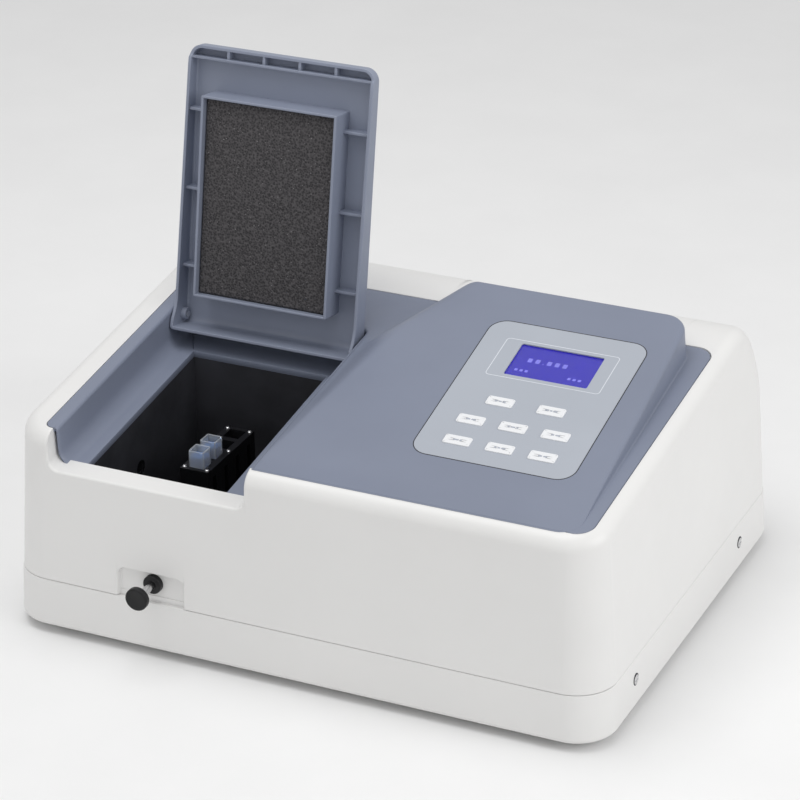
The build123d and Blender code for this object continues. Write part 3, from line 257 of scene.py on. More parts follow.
# ------------------------------------------------------------------ finishes
class Finish:
    """A new node material, with the tools that add its nodes and link them to its shader."""

    def __init__(self, name):
        self.made = bpy.data.materials.new(name)
        self.made.use_nodes = True
        self.nodes, self.links = self.made.node_tree.nodes, self.made.node_tree.links
        self.shader = self.nodes["Principled BSDF"]
        self.place = self.nodes.new("ShaderNodeTexCoord").outputs["Object"]

    def node(self, kind, source, socket, **numbers):
        """A new node with one input linked to a source and others set to numbers. In the names of
        inputs an underscore stands for a space."""
        node = self.nodes.new("ShaderNode" + kind)
        self.links.new(source, node.inputs[socket])
        for name, number in numbers.items():
            node.inputs[name.replace("_", " ")].default_value = number
        return node

    def noise(self, scale, detail=3.0, roughness=0.55):
        """Noise on object coordinates."""
        return self.node("TexNoise", self.place, "Vector", Scale=scale, Detail=detail,
                         Roughness=roughness).outputs["Fac"]

    def ramp(self, value, *stops):
        """Colour ramp with (position, colour) stops."""
        node = self.node("ValToRGB", value, "Fac")
        elements = node.color_ramp.elements
        while len(elements) < len(stops):
            elements.new(0.5)
        for element, (position, colour) in zip(elements, stops):
            element.position = position
            element.color = (*colour, 1.0)
        return node.outputs["Color"]

    def level(self, value, low, high, start=0.3, end=0.7):
        """Maps a value between start and end to low and high."""
        return self.node("MapRange", value, "Value", From_Min=start, From_Max=end, To_Min=low,
                         To_Max=high).outputs["Result"]

    def look(self, **inputs):
        """Links each named input of the shader to a node's output, or sets it to a number."""
        for name, source in inputs.items():
            socket = self.shader.inputs[name.replace("_", " ")]
            if isinstance(source, bpy.types.NodeSocket):
                self.links.new(source, socket)
            else:
                socket.default_value = source

    def bump(self, value, strength, distance):
        """Bump of a height in metres into the shader's normal."""
        self.look(Normal=self.node("Bump", value, "Height", Strength=strength,
                                   Distance=distance).outputs["Normal"])


def shade(colour, share):
    """A colour made lighter or darker by a share."""
    return tuple(min(1.0, part * (1 + share)) for part in colour)


def moulded(name, colour, roughness=0.4, spread=0.05, grain=2600.0, relief=0.00003, strength=0.25,
            metallic=0.0, specular=0.5, scale=9.0):
    """Moulded or painted surface: slow drift of colour and gloss, and a fine grain."""
    t = Finish(name)
    drift = t.ramp(t.noise(scale, 4.0), (0.35, shade(colour, -spread)), (0.65, shade(colour, spread)))
    t.look(Base_Color=drift,
           Roughness=t.level(t.noise(scale * 5, 3.0), roughness - 0.06, roughness + 0.06),
           Metallic=metallic, Specular_IOR_Level=specular)
    t.bump(t.noise(grain, 2.0), strength, relief)
    return t.made


def clear(name, colour, roughness=0.03, ior=1.49, weight=1.0):
    """Clear plastic or glass, with a faint drift of tint and gloss."""
    t = Finish(name)
    t.look(Base_Color=t.ramp(t.noise(60.0), (0.3, shade(colour, -0.03)), (0.7, colour)),
           Roughness=t.level(t.noise(200.0), roughness * 0.5, roughness * 1.5),
           Transmission_Weight=weight, IOR=ior)
    return t.made


def open_cell_foam(name):
    """Black foam: cells with dark middles and paler walls, and a scatter of light specks. The dark
    middles are painted shade in the cell hollows.
    """
    t = Finish(name)
    cells, specks = (t.node("TexVoronoi", t.place, "Vector", Scale=scale).outputs["Distance"]
                     for scale in (620.0, 330.0))
    # Dark cell middles are painted shade in the foam's hollows.
    walls = t.ramp(cells, (0.15, (0.016, 0.015, 0.017)), (0.75, (0.085, 0.08, 0.084)))
    dots = t.ramp(specks, (0.0, (0.34, 0.33, 0.34)), (0.13, (0.0, 0.0, 0.0)))
    total = t.node("MixRGB", walls, "Color1", Fac=1.0)
    total.blend_type = "ADD"
    t.links.new(dots, total.inputs["Color2"])
    t.look(Base_Color=total.outputs["Color"], Roughness=t.level(cells, 0.75, 0.98, 0.0, 1.0))
    t.bump(cells, 0.8, 0.0005)
    return t.made


def brushed(name, colour, roughness, axis_scale=(40.0, 40.0, 2200.0)):
    """Brushed or drawn metal: fine lines stretched along the piece."""
    t = Finish(name)
    stretch = t.node("Mapping", t.place, "Vector", Scale=axis_scale).outputs["Vector"]
    lines = t.node("TexNoise", stretch, "Vector", Scale=1.0, Detail=3.0).outputs["Fac"]
    t.look(Base_Color=t.ramp(lines, (0.3, shade(colour, -0.12)), (0.7, colour)),
           Roughness=t.level(lines, roughness * 0.8, roughness * 1.3), Metallic=1.0)
    t.bump(lines, 0.15, 0.00002)
    return t.made


def lit_display(name, colour, strength):
    """Back-lit display: a blue field with a faint grid of square dots, which glows."""
    t = Finish(name)
    dots = t.node("TexVoronoi", t.place, "Vector", Scale=1700.0, Randomness=0.0)
    dots.distance = "CHEBYCHEV"
    field = t.ramp(dots.outputs["Distance"], (0.35, colour), (0.5, shade(colour, -0.12)))
    t.look(Base_Color=field, Emission_Color=field, Emission_Strength=strength,
           Roughness=t.level(t.noise(90.0), 0.12, 0.2), Specular_IOR_Level=0.15)
    return t.made


WHITE = moulded("white_shell", (0.80, 0.795, 0.785), 0.38, 0.012, 2400.0, 0.00002, 0.2)
GREY = moulded("grey_moulding", (0.210, 0.236, 0.312), 0.46, 0.03, 2000.0, 0.00004, 0.35)
FILM = moulded("overlay_film", (0.415, 0.445, 0.50), 0.42, 0.02, 3400.0, 0.00001, 0.2)
# Lighter copy of the deck's grey moulding: painted light on the lit inner face of the open lid.
LIT_LID_GREY = moulded("lid_grey_painted_light", (0.245, 0.273, 0.352), 0.46, 0.03, 2000.0, 0.00004, 0.35)
KEY_WHITE = moulded("key_white", (0.83, 0.84, 0.86), 0.4, 0.015, 3000.0, 0.00001, 0.2)
INK = moulded("key_ink", (0.42, 0.45, 0.52), 0.5, 0.05, 3000.0, 0.00001, 0.1)
PRINT = moulded("printed_line", (0.72, 0.75, 0.80), 0.45, 0.03, 3000.0, 0.00001, 0.1)
SHADOW = moulded("shadow_gap", (0.03, 0.032, 0.038), 0.6, 0.2, 1500.0, 0.00002, 0.2)
BLACK = moulded("black_plastic", (0.010, 0.010, 0.011), 0.42, 0.2, 2200.0, 0.00003, 0.25, specular=0.3)
BLACK_COAT = moulded("black_coated", (0.034, 0.035, 0.042), 0.5, 0.25, 1800.0, 0.00006, 0.4, scale=22.0)
ANODISED = moulded("black_anodised", (0.02, 0.02, 0.023), 0.36, 0.2, 2600.0, 0.00003, 0.25, metallic=0.6)
RUBBER = moulded("rubber", (0.015, 0.015, 0.015), 0.78, 0.25, 900.0, 0.00008, 0.5)
PANEL = moulded("painted_panel", (0.55, 0.55, 0.54), 0.5, 0.03, 1300.0, 0.00006, 0.4)
CERAMIC = moulded("ceramic", (0.75, 0.72, 0.66), 0.7, 0.05, 1500.0, 0.00005, 0.4)
BOARD = moulded("circuit_board", (0.02, 0.16, 0.06), 0.4, 0.25, 500.0, 0.00004, 0.3, scale=70.0)
FOAM = open_cell_foam("foam")
STEEL = brushed("polished_steel", (0.72, 0.72, 0.73), 0.16)
SHEET = brushed("sheet_steel", (0.55, 0.56, 0.57), 0.34, (900.0, 12.0, 900.0))
ALLOY = moulded("cast_alloy", (0.5, 0.51, 0.52), 0.45, 0.08, 700.0, 0.0001, 0.5, metallic=0.9)
MIRROR = moulded("mirror_coating", (0.86, 0.87, 0.88), 0.07, 0.02, 900.0, 0.000005, 0.05, metallic=1.0)
CELL = clear("cell_plastic", (0.90, 0.94, 1.0), 0.08, 1.40, 0.72)
LIQUID = clear("blue_liquid", (0.10, 0.34, 0.85), 0.05, 1.33, 0.35)
WINDOW = clear("clear_window", (0.97, 0.98, 1.0), 0.02)
LCD_BLUE = lit_display("lcd_blue", (0.014, 0.007, 0.36), 0.8)
LCD_MARK = lit_display("lcd_mark", (0.20, 0.19, 0.72), 0.6)

SLOT_FINISH = {
    "white_shell": WHITE, "grey_moulding": GREY, "overlay_film": FILM, "clear_window": WINDOW,
    "lcd_glass": LCD_BLUE, "circuit_board": BOARD, "rubber": RUBBER, "sheet_steel": SHEET,
    "cast_alloy": ALLOY, "steel_screws": STEEL, "steel_rod": STEEL, "black_plastic": BLACK,
    "black_coated": BLACK_COAT, "black_anodised": ANODISED, "lens_glass": WINDOW, "foam": FOAM,
    "cell_plastic": CELL, "blue_liquid": LIQUID, "mirror_coating": MIRROR, "ceramic": CERAMIC,
    "lamp_glass": WINDOW, "painted_panel": PANEL, "white_keys": KEY_WHITE,
}
for part in frame["record"]["subparts"]:
    node = frame["nodes"][part["node"]]
    node.data.materials.clear()
    node.data.materials.append(SLOT_FINISH[part["material_slot"]])


# ------------------------------------------------------------------ upper housing
def body_distance(p):
    """Distance outside the housing's outer form: four leaning walls with round upright corners, the
    sloping top, the large rounding from the top down into the back, and a rounded edge all round whose
    radius grows to the corner radius where the rounding has turned down into the back."""
    x, y, z = p[..., 0], p[..., 1], p[..., 2]
    tilt = np.hypot(1, LEAN)
    inset = LEAN * (z - TRAY_Z)
    side = (np.abs(x) - (WIDTH / 2 - inset)) / tilt
    front = (FRONT + inset - y) / tilt
    back = (y - (BACK - inset)) / tilt
    top = (z - top_z(y)) / np.hypot(1, TOP_SLOPE)
    over_top, over_back = np.maximum(top + REAR_R, 0), np.maximum(back + REAR_R, 0)
    turned = smoothstep((over_back / np.maximum(np.hypot(over_top, over_back), 1e-6) - 0.25) / 0.75)
    edge = EDGE_R + (CORNER_R - EDGE_R) * turned
    return round_max(round_max(side, front, CORNER_R), round_max(top, back, REAR_R), edge)


def slot_distance(across, below, spread_range, radius):
    """Distance outside a slot open at the top: two sides, a floor, and round feet between them."""
    middle, half = sum(spread_range) / 2, (spread_range[1] - spread_range[0]) / 2
    return round_max(np.abs(across - middle) - half, below, radius)


def notch_distance(p):
    """Distance outside the notch for the lid's front edge, whose floor follows the slope of the top."""
    floor = top_z(p[..., 1]) - NOTCH_DEPTH * np.hypot(1, TOP_SLOPE)
    return np.where(p[..., 1] < DECK_Y[0] + 8, slot_distance(p[..., 0], floor - p[..., 2], NOTCH_X, 8.0), 50)


def pressed_in(p):
    """How far the knob bay in the front and the panel opening in the back are pressed into the walls."""
    x, y, z = p[..., 0], p[..., 1], p[..., 2]
    bay = slot_distance(x, z - BAY_TOP, BAY_X, 6.0)
    half = (PANEL_Z[1] - PANEL_Z[0]) / 2
    panel = slot_distance(x, np.abs(z - PANEL_Z[0] - half) - half, PANEL_X, 5.0)
    return (np.where(y < FRONT + 30, BAY_DEPTH * smoothstep(0.5 - bay / 1.6), 0)
            + np.where(y > BACK - 40, PANEL_DEPTH * smoothstep(0.5 - panel / 1.2), 0))


def housing_distance(p):
    """Body less the notch, with a rounded edge between them, and less what is pressed in."""
    return round_max(body_distance(p), -notch_distance(p), 1.6) + pressed_in(p)


def run(start, end, stops):
    """Points from start to end at the given shares of the way."""
    stops = np.linspace(0, 1, stops + 1) if np.isscalar(stops) else np.asarray(stops)
    return np.array(start) + stops[:, None] * (np.array(end) - np.array(start))


def stops_near(low, high, places, reach=5.0, fine=0.7, coarse=5.0):
    """Shares from low to high, fine within reach of each place and coarse elsewhere."""
    size, at, marks = high - low, 0.0, [0.0]
    while at < abs(size):
        here = low + at * np.sign(size)
        near = min(abs(here - place) for place in places)
        at += fine if near < reach else min(coarse, max(fine, (near - reach) * 0.7))
        marks.append(min(at, abs(size)))
    return np.array(marks) / abs(size)


def housing_columns():
    """Pairs of plan points: on the edge of the deck's pocket, and on the foot of the outer wall."""
    left, right = DECK_X[0] - 0.6, DECK_X[1] + 0.6
    low, high = DECK_Y[0] - 0.6, DECK_Y[1] + 0.6
    r, side = DECK_R + 0.6, WIDTH / 2
    small = 6.6                            # tighter corner where the deck's left rail ends
    front_marks = stops_near(left + small, right - r, (*NOTCH_X, *BAY_X), 7.0)
    back_marks = stops_near(right - r, left + r, PANEL_X, 4.0)
    near_left = arc((left + small, low + small), small, 180, 270, 16)
    pairs = [
        (near_left, np.stack([near_left[:, 0], np.full(17, FRONT)], -1)),
        (run((left + small, low), (right - r, low), front_marks),
         run((left + small, FRONT), (right - r, FRONT), front_marks)),
        (arc((right - r, low + r), r, 270, 360, 20),
         arc((side - CORNER_R, FRONT + CORNER_R), CORNER_R, 270, 360, 20)),
        (run((right, low + r), (right, high - r), 34),
         run((side, FRONT + CORNER_R), (side, BACK - CORNER_R), 34)),
        (arc((right - r, high - r), r, 0, 90, 20),
         arc((side - CORNER_R, BACK - CORNER_R), CORNER_R, 0, 90, 20)),
        (run((right - r, high), (left + r, high), back_marks),
         run((side - CORNER_R, BACK), (CORNER_R - side, BACK), back_marks)),
        (arc((left + r, high - r), r, 90, 180, 20),
         arc((CORNER_R - side, BACK - CORNER_R), CORNER_R, 90, 180, 20)),
        (run((left, high - r), (left, low + small + 31), 28),
         run((-side, BACK - CORNER_R), (-side, FRONT + CORNER_R), 28)),
        (run((left, low + small + 31), (left, low + small), 20),
         arc((CORNER_R - side, FRONT + CORNER_R), CORNER_R, 180, 270, 20)),
    ]
    inner = np.concatenate([a[:-1] for a, _ in pairs])
    outer = np.concatenate([b[:-1] for _, b in pairs])
    return inner, outer


def march(start, heading, reach, steps=22):
    """Point on the housing's surface along each ray, by halving the stretch between inside and outside."""
    low, high = np.zeros(start.shape[:-1]), np.broadcast_to(reach, start.shape[:-1]).copy()
    for _ in range(steps):
        middle = (low + high) / 2
        outside = housing_distance(start + heading * middle[..., None]) > 0
        high = np.where(outside, middle, high)
        low = np.where(outside, low, middle)
    return start + heading * low[..., None]


def upper_housing():
    """White housing. Each column is a cut through the wall: rays from a point under the deck's edge, level
    ones at rising heights and then ones that swing up to the deck's edge, meet the outer form. The rows
    are spaced by length plus turning, so they crowd where the surface bends. The column then steps down
    into the deck's pocket and returns inside as the wall's inner face."""
    inner, outer = housing_columns()
    in_notch = (inner[:, 0] > NOTCH_X[0]) & (inner[:, 0] < NOTCH_X[1]) & (inner[:, 1] < DECK_Y[0] + 8)
    top = np.concatenate([inner, top_z(inner[:, 1:])], -1)
    top[in_notch, 1] = OPENING_Y[0]
    top[in_notch, 2] = top_z(OPENING_Y[0]) - NOTCH_DEPTH * np.hypot(1, TOP_SLOPE)
    across = outer - top[:, :2]
    across /= np.linalg.norm(across, axis=1)[:, None]
    hub_z = 105.0
    hub = np.concatenate([top[:, :2] - 12 * across, np.full((len(top), 1), hub_z)], -1)
    heading = np.concatenate([across, np.zeros((len(top), 1))], -1)
    reach = np.linalg.norm(outer - hub[:, :2], axis=1) + 8

    levels = np.linspace(SEAM_Z, hub_z, 180)[:-1]
    starts = np.repeat(hub[None], len(levels), 0)
    starts[..., 2] = levels[:, None]
    walls = march(starts, np.broadcast_to(heading, starts.shape), reach[None])
    limit = np.arctan2(top[:, 2] - hub_z, 12.0)
    swing = np.linspace(0, 1, 300)[:, None] * limit
    rays = heading[None] * np.cos(swing)[..., None] + np.array((0, 0, 1.0)) * np.sin(swing)[..., None]
    over = march(np.broadcast_to(hub, rays.shape), rays, 150.0)
    over[-1] = top
    path = np.concatenate([walls, over])

    step = np.diff(path, axis=0)
    length = np.linalg.norm(step, axis=-1)
    unit = step / np.maximum(length, 1e-9)[..., None]
    turning = np.arccos(np.clip((unit[1:] * unit[:-1]).sum(-1), -1, 1))
    weight = length + 26 * np.concatenate([np.zeros((1, len(top))), turning])
    travel = np.concatenate([np.zeros((1, len(top))), np.cumsum(weight, axis=0)])
    rows = np.linspace(0, 1, 84)

    def spaced(c):
        """Column c, sampled at even shares of its travel."""
        at = rows * travel[-1, c]
        return np.stack([np.interp(at, travel[:, c], path[:, c, k]) for k in range(3)], -1)

    face = np.stack([spaced(c) for c in range(len(top))], 1)
    pressed = pressed_in(face)
    wall = 3.0 * (1 - smoothstep(pressed / (PANEL_DEPTH - 0.2)))
    inward = hub[None] - face
    inward[..., 2] = np.maximum(face[..., 2] - hub_z, 0) * -1.0
    inward /= np.linalg.norm(inward, axis=-1)[..., None]
    lining = face + inward * wall[..., None]
    lip = face[-1:] + np.array((0, 0, -3.4))
    lip_in = lip - 2.0 * np.concatenate([across, np.zeros((len(top), 1))], -1)[None]
    loop = np.concatenate([lining[:1], face, lip, lip_in, lining[::-1][3:]])
    skin = Skin().grid(loop, around=True)
    deep = pressed_in(np.concatenate(skin.points)) > PANEL_DEPTH - 0.05
    skin.faces = [skin.faces[0][~deep[skin.faces[0]].all(axis=1)]]
    skin.tags = [np.zeros(len(skin.faces[0]), int)]
    return mesh_piece("housing_shell", skin, "housing", WHITE, ["upper_housing"], sharp=50)


def base_tray():
    """White tray: a leaning rounded wall with a round foot edge, a small round seam edge, the tongue that
    stands inside the housing, and the floor inside."""
    outline, outward = rounded_rectangle((-WIDTH / 2, WIDTH / 2), (FRONT, BACK), CORNER_R, 14)
    rim = SEAM_Z - SEAM_GAP

    def lean(z):
        """Inward offset of the wall at a height."""
        return -LEAN * (z - TRAY_Z)

    tongue_out, tongue_in, tongue_top = -3.2 + lean(rim), -5.0 + lean(rim), rim + 4.5
    profile = np.concatenate([
        [(-28, TRAY_Z)], arc((-4.5, TRAY_Z + 4.5), 4.5, -90, 0, 7),
        [(lean(20), 20), (lean(36), 36)], arc((lean(rim) - 0.8, rim - 0.8), 0.8, 0, 90, 3),
        [(tongue_out, rim), (tongue_out, tongue_top), (tongue_in, tongue_top),
         (-5.0, 12), (-8, TRAY_Z + 3), (-28, TRAY_Z + 3)]])
    skin = Skin().grid(ring_loft(outline, outward, profile), around=True, ends=(True, True))
    return mesh_piece("tray_shell", skin, "housing", WHITE, ["base_tray"])


# ------------------------------------------------------------------ deck and console
def console_right(y):
    """Foot of the console's right flank."""
    return 207.0 - 8.0 * (y - CONSOLE_FRONT) / (DECK_Y[1] - CONSOLE_FRONT)


def console_rise(x, y):
    """Height of the console over the deck plane: a wedge that starts softly at its front line and falls
    away on the left in an S between a head line and a foot line, both of which swing to the right."""
    along = y - CONSOLE_FRONT
    wedge = (CONSOLE_SLOPE - TOP_SLOPE) * (along + np.hypot(along, 6.0)) / 2
    rear = np.clip((y - 21.0) / 74.0, 0, 1)
    foot = -37.5 + 30.5 * rear
    head = -34.5 + 31.5 * np.clip(along / 160.0, 0, 1) + 36.0 * rear
    return wedge * smoothstep((x - foot) / (head - foot))


def rounded_box_distance(x, y, xs, ys, radius):
    """Distance outside a rounded rectangle: the overshoots of its sides and ends, rounded where
    they meet."""
    side = np.abs(x - sum(xs) / 2) - (xs[1] - xs[0]) / 2
    end = np.abs(y - sum(ys) / 2) - (ys[1] - ys[0]) / 2
    return round_max(side, end, radius)


def under_overlay(x, y):
    """Depth of the well under the keypad overlay, which starts 2 mm inside the overlay's edge."""
    return 3.6 * smoothstep((-rounded_box_distance(x, y, OVERLAY_X, OVERLAY_Y, OVERLAY_R) - 2.0) / 2.5)


def top_deck():
    """Grey deck. A grid of rows from front to back carries the console; its ends follow rounded corners.
    A strip carried round the grid's edge turns over the console's edge, down its steep flank and over the
    deck's own rim. A second strip carried round the lid recess makes its rim, wall, deep fillet, ledge
    and the lip of the sample opening."""
    inset, rail, rim = 4.0, RECESS_X[0] - 2.5, 2.5
    near, far = DECK_Y[0] + inset, DECK_Y[1] - 7.0
    recess_back, recess_turn = RECESS_BACK + rim, 5.0
    corner, small, console_turn = 9.0, 2.0, 14.0

    turn = np.sin(np.linspace(0, QUARTER, 9))
    front_rows = near + corner * (1 - np.sqrt(1 - turn ** 2))
    row_gap = 1.6
    y = np.concatenate([
        front_rows[:-1], [near + small], np.arange(near + corner, RECESS_BACK - recess_turn, row_gap),
        [RECESS_BACK - recess_turn], np.arange(recess_back, far - console_turn, row_gap),
        far - console_turn + console_turn * np.sin(np.linspace(0, QUARTER, 13))])
    y = np.unique(np.round(y, 5))

    def end_of(limit, radius_near, radius_far, side):
        """Where rows end: a side line with its front and rear corners rounded."""
        front = np.clip(near + radius_near - y, 0, radius_near)
        rear = np.clip(y - (far - radius_far), 0, radius_far)
        cut = (radius_near - np.sqrt(np.maximum(radius_near ** 2 - front ** 2, 0))
               + radius_far - np.sqrt(np.maximum(radius_far ** 2 - rear ** 2, 0)))
        return limit - side * cut

    right = end_of(console_right(y) - 6.0, corner, console_turn, 1)
    left = end_of(DECK_X[0] + inset, small, corner, -1)
    recess_right = RECESS_X[1] + rim

    def patch(start, end, steps, rows):
        """Grid of points between two ends of the chosen rows."""
        share = np.linspace(0, 1, steps + 1)
        x = start[rows, None] + share * (end - start)[rows, None]
        depth = np.broadcast_to(y[rows, None], x.shape)
        z = top_z(depth) + console_rise(x, depth) - under_overlay(x, depth)
        return np.stack([x, depth, z], -1)

    every = np.arange(len(y))
    behind = np.flatnonzero(y >= recess_back - 1e-6)
    edge_left, edge_right = np.full(len(y), rail), np.full(len(y), recess_right)
    right_patch = patch(edge_right, right, 150, every)
    left_patch = patch(left, edge_left, 3, every)
    back_x = np.concatenate([[rail], np.linspace(RECESS_X[0] + recess_turn, RECESS_X[1] - recess_turn, 50),
                             [recess_right]])
    back_y = np.broadcast_to(y[behind, None], (len(behind), len(back_x)))
    back_grid = np.broadcast_to(back_x, back_y.shape)
    back_patch = np.stack([back_grid, back_y, top_z(back_y) + console_rise(back_grid, back_y)], -1)
    skin = Skin().grid(right_patch).grid(left_patch).grid(back_patch)

    path = np.concatenate([right_patch[0, :-1], right_patch[:-1, -1], right_patch[-1, :0:-1],
                           back_patch[-1, :0:-1], left_patch[-1, :0:-1], left_patch[:0:-1, 0], left_patch[0]])
    plan = path[:, :2]
    tangent = np.gradient(plan, axis=0)
    tangent /= np.linalg.norm(tangent, axis=1)[:, None]
    outward = np.stack([tangent[:, 1], -tangent[:, 0]], -1)
    low, high = np.zeros(len(plan)), np.full(len(plan), 40.0)
    for _ in range(30):
        middle = (low + high) / 2
        at = plan + outward * middle[:, None]
        outside = rounded_box_distance(at[:, 0], at[:, 1], DECK_X, DECK_Y, DECK_R) > 0
        outside &= ~((at[:, 0] < -150) & (at[:, 1] < -130) & (rounded_box_distance(
            at[:, 0], at[:, 1], DECK_X, DECK_Y, 6.0) <= 0))
        high, low = np.where(outside, middle, high), np.where(outside, low, middle)
    edge = low
    height = console_rise(plan[:, 0], plan[:, 1])
    room = np.maximum(edge - 6.0, 0.2)
    crown = np.minimum(3.6, 0.45 * height)
    foot = np.minimum(np.minimum(1.4, 0.3 * height), 0.4 * room)
    rim_r = np.minimum(1.2, 0.4 * room)
    slant = 1.5 * height / 25
    wall = np.where(height > 0.02, 6.0, np.minimum(6.0, edge - 1.5))
    rows = []
    for angle in np.linspace(0, QUARTER, 7):
        rows.append((wall - slant - crown + crown * np.sin(angle), 1.0, -crown * (1 - np.cos(angle))))
    for angle in np.linspace(0, QUARTER, 4):
        rows.append((wall + foot * (1 - np.cos(angle)), 0.0, foot * (1 - np.sin(angle))))
    for angle in np.linspace(0, QUARTER, 5):
        rows.append((edge - rim_r + rim_r * np.sin(angle), 0.0, -rim_r * (1 - np.cos(angle))))
    rows.append((edge, 0.0, np.full_like(edge, -3.2)))
    strip = [path]
    for reach, share, extra in rows:
        at = plan + outward * np.maximum(reach, 0)[:, None]
        tall = share * console_rise(at[:, 0], at[:, 1])
        strip.append(np.stack([at[:, 0], at[:, 1], top_z(at[:, 1]) + tall + extra], -1))
    skin.grid(np.stack(strip), flip=True)

    side_y = np.concatenate([[DECK_Y[0]], y[y <= RECESS_BACK - recess_turn + 1e-6]])
    back_mid = back_x[1:-1]
    around = np.linspace(0, QUARTER, 9)[1:-1]
    left_turn = np.stack([RECESS_X[0] + recess_turn - recess_turn * np.cos(around),
                          RECESS_BACK - recess_turn + recess_turn * np.sin(around)], -1)
    right_turn = np.stack([RECESS_X[1] - recess_turn + recess_turn * np.sin(around),
                           RECESS_BACK - recess_turn + recess_turn * np.cos(around)], -1)
    wall_path = np.concatenate([
        np.stack([np.full_like(side_y, RECESS_X[0]), side_y], -1), left_turn,
        np.stack([back_mid, np.full_like(back_mid, RECESS_BACK)], -1), right_turn,
        np.stack([np.full_like(side_y, RECESS_X[1]), side_y], -1)[::-1]])
    count, turns, mid_count = len(side_y), len(around), len(back_mid)
    inward = np.concatenate([
        np.tile((1.0, 0.0), (count, 1)), np.stack([np.cos(around), -np.sin(around)], -1),
        np.tile((0.0, -1.0), (mid_count, 1)), np.stack([-np.sin(around), -np.cos(around)], -1),
        np.tile((-1.0, 0.0), (count, 1))])
    first = wall_path - rim * inward
    first[count:count + turns] = (rail, recess_back)
    first[count + turns + mid_count:count + 2 * turns + mid_count] = (recess_right, recess_back)
    opening = np.stack([np.clip(wall_path[:, 0], *OPENING_X), np.minimum(wall_path[:, 1], OPENING_Y[1])], -1)
    toward = wall_path - opening
    toward /= np.linalg.norm(toward, axis=1)[:, None]
    draft = 0.6

    def wall_profile(fillet):
        """Rim, wall and lower fillet of the recess as (reach inwards, height)."""
        return np.concatenate([arc((-rim, -rim), rim, 90, 0, 5), [(0.3, -12)],
                               arc((draft + fillet, fillet - RECESS_DEPTH), fillet, 180, 270, 9)])

    level = np.hypot(1, TOP_SLOPE)
    lean_back = TOP_SLOPE / level          # the rear wall is square to the sloping top, so the lid clears it
    rear = smoothstep((wall_path[:, 1:] - 8) / 16)         # and its fillet is smaller there
    profile = (1 - rear) * wall_profile(11.0)[:, None] + rear * wall_profile(5.5)[:, None]
    strip = []
    for k, row in enumerate(profile):
        reach, depth = row[:, :1], row[:, 1:]
        at = first if k == 0 else wall_path + reach * inward
        back = -depth * lean_back * smoothstep(at[:, 1:] / 30.0)
        at = at + np.concatenate([0 * back, back], -1)
        strip.append(np.concatenate([at, top_z(at[:, 1:]) + depth * level], -1))
    for reach, depth in ((0.9, 0.0), (0.3, -0.2), (0.0, -0.9), (0.0, -5.0)):
        at = opening + reach * toward
        strip.append(np.concatenate([at, top_z(at[:, 1:]) + (depth - RECESS_DEPTH) * level], -1))
    skin.grid(np.stack(strip), flip=True)
    return mesh_piece("deck_moulding", skin, "housing", GREY, ["top_deck"], sharp=42,
                      solid=1.6)


# ------------------------------------------------------------------ keypad and display
def console_outline(xs, ys, radius, steps=8, sides=10):
    """Rounded rectangle on the console plane, given by its edges in plan."""
    return rounded_rectangle(xs, tuple(up_console(ys)), radius, steps, sides)


def keypad_overlay():
    """Printed film: a flat band between the overlay's outline and the display window's, with the film's
    edges; a dark bead round it, which is painted shade in the joint, and a thin printed frame round the
    window."""
    outer, out_dir = console_outline(OVERLAY_X, OVERLAY_Y, OVERLAY_R)
    hole, hole_dir = console_outline(LCD_X, LCD_Y, 1.2)
    skin = Skin()
    rows = [(outer, out_dir, 0.0, -0.9), (outer, out_dir, 0.0, -0.1), (outer, out_dir, -0.06, 0.04),
            (outer, out_dir, -0.25, 0.08), (hole, hole_dir, 0.25, 0.08), (hole, hole_dir, 0.06, 0.04),
            (hole, hole_dir, 0.0, -0.1), (hole, hole_dir, 0.0, -0.9), (outer, out_dir, 0.0, -0.9)]
    ring = [np.concatenate([line + reach * way, np.full((len(line), 1), z)], -1)
            for line, way, reach, z in rows]
    skin.grid(CONSOLE.place(np.stack(ring)), around=True)
    mesh_piece("keypad_film", skin, "housing", FILM, ["keypad_overlay"], sharp=30)

    # Near-black bead in the shadow_gap finish: painted shade in the joint round the film.
    skin = tube_ring(Skin(), outer, out_dir, 0.42, CONSOLE, -0.12)
    mesh_piece("overlay_joint_painted_shade", skin, "housing", SHADOW, weighted=False)

    frame_line, frame_dir = console_outline((78.0, 166.0), (-10.0, 33.5), 3.0)
    line = [(0, 0.05), (0, 0.12), (-0.55, 0.12), (-0.55, 0.05), (0, 0.05)]
    skin = Skin().grid(ring_loft(frame_line, frame_dir, line, CONSOLE), around=True)
    mesh_piece("display_frame_line", skin, "housing", PRINT)


def display():
    """Back-lit display under the window: a blue field with rows of plain blocks."""
    low, high = up_console(LCD_Y)
    past = 1.5                             # how far the panel goes under the window's edge
    skin = slab(Skin(), CONSOLE, (LCD_X[0] - past, LCD_X[1] + past), (low - past, high + past),
                (-3.0, -2.4), 0.6, 0.1)
    middle = (low + high) / 2
    blocks = [(x, middle + 3.2, 3.4, 4.6) for x in (103, 109, 118, 124, 130)]
    blocks += [(113.6, middle + 1.4, 1.0, 1.0)]
    blocks += [(x, middle - 9.5, 2.4, 2.6) for x in (97, 101, 105, 138, 142, 146)]
    for x, y, wide, tall in blocks:
        slab(skin, CONSOLE, (x - wide / 2, x + wide / 2), (y - tall / 2, y + tall / 2), (-2.45, -2.34),
             0.4, 0.05, tag=1, steps=2)
    mesh_piece("display_panel", skin, "housing", [LCD_BLUE, LCD_MARK], ["lcd_panel"])


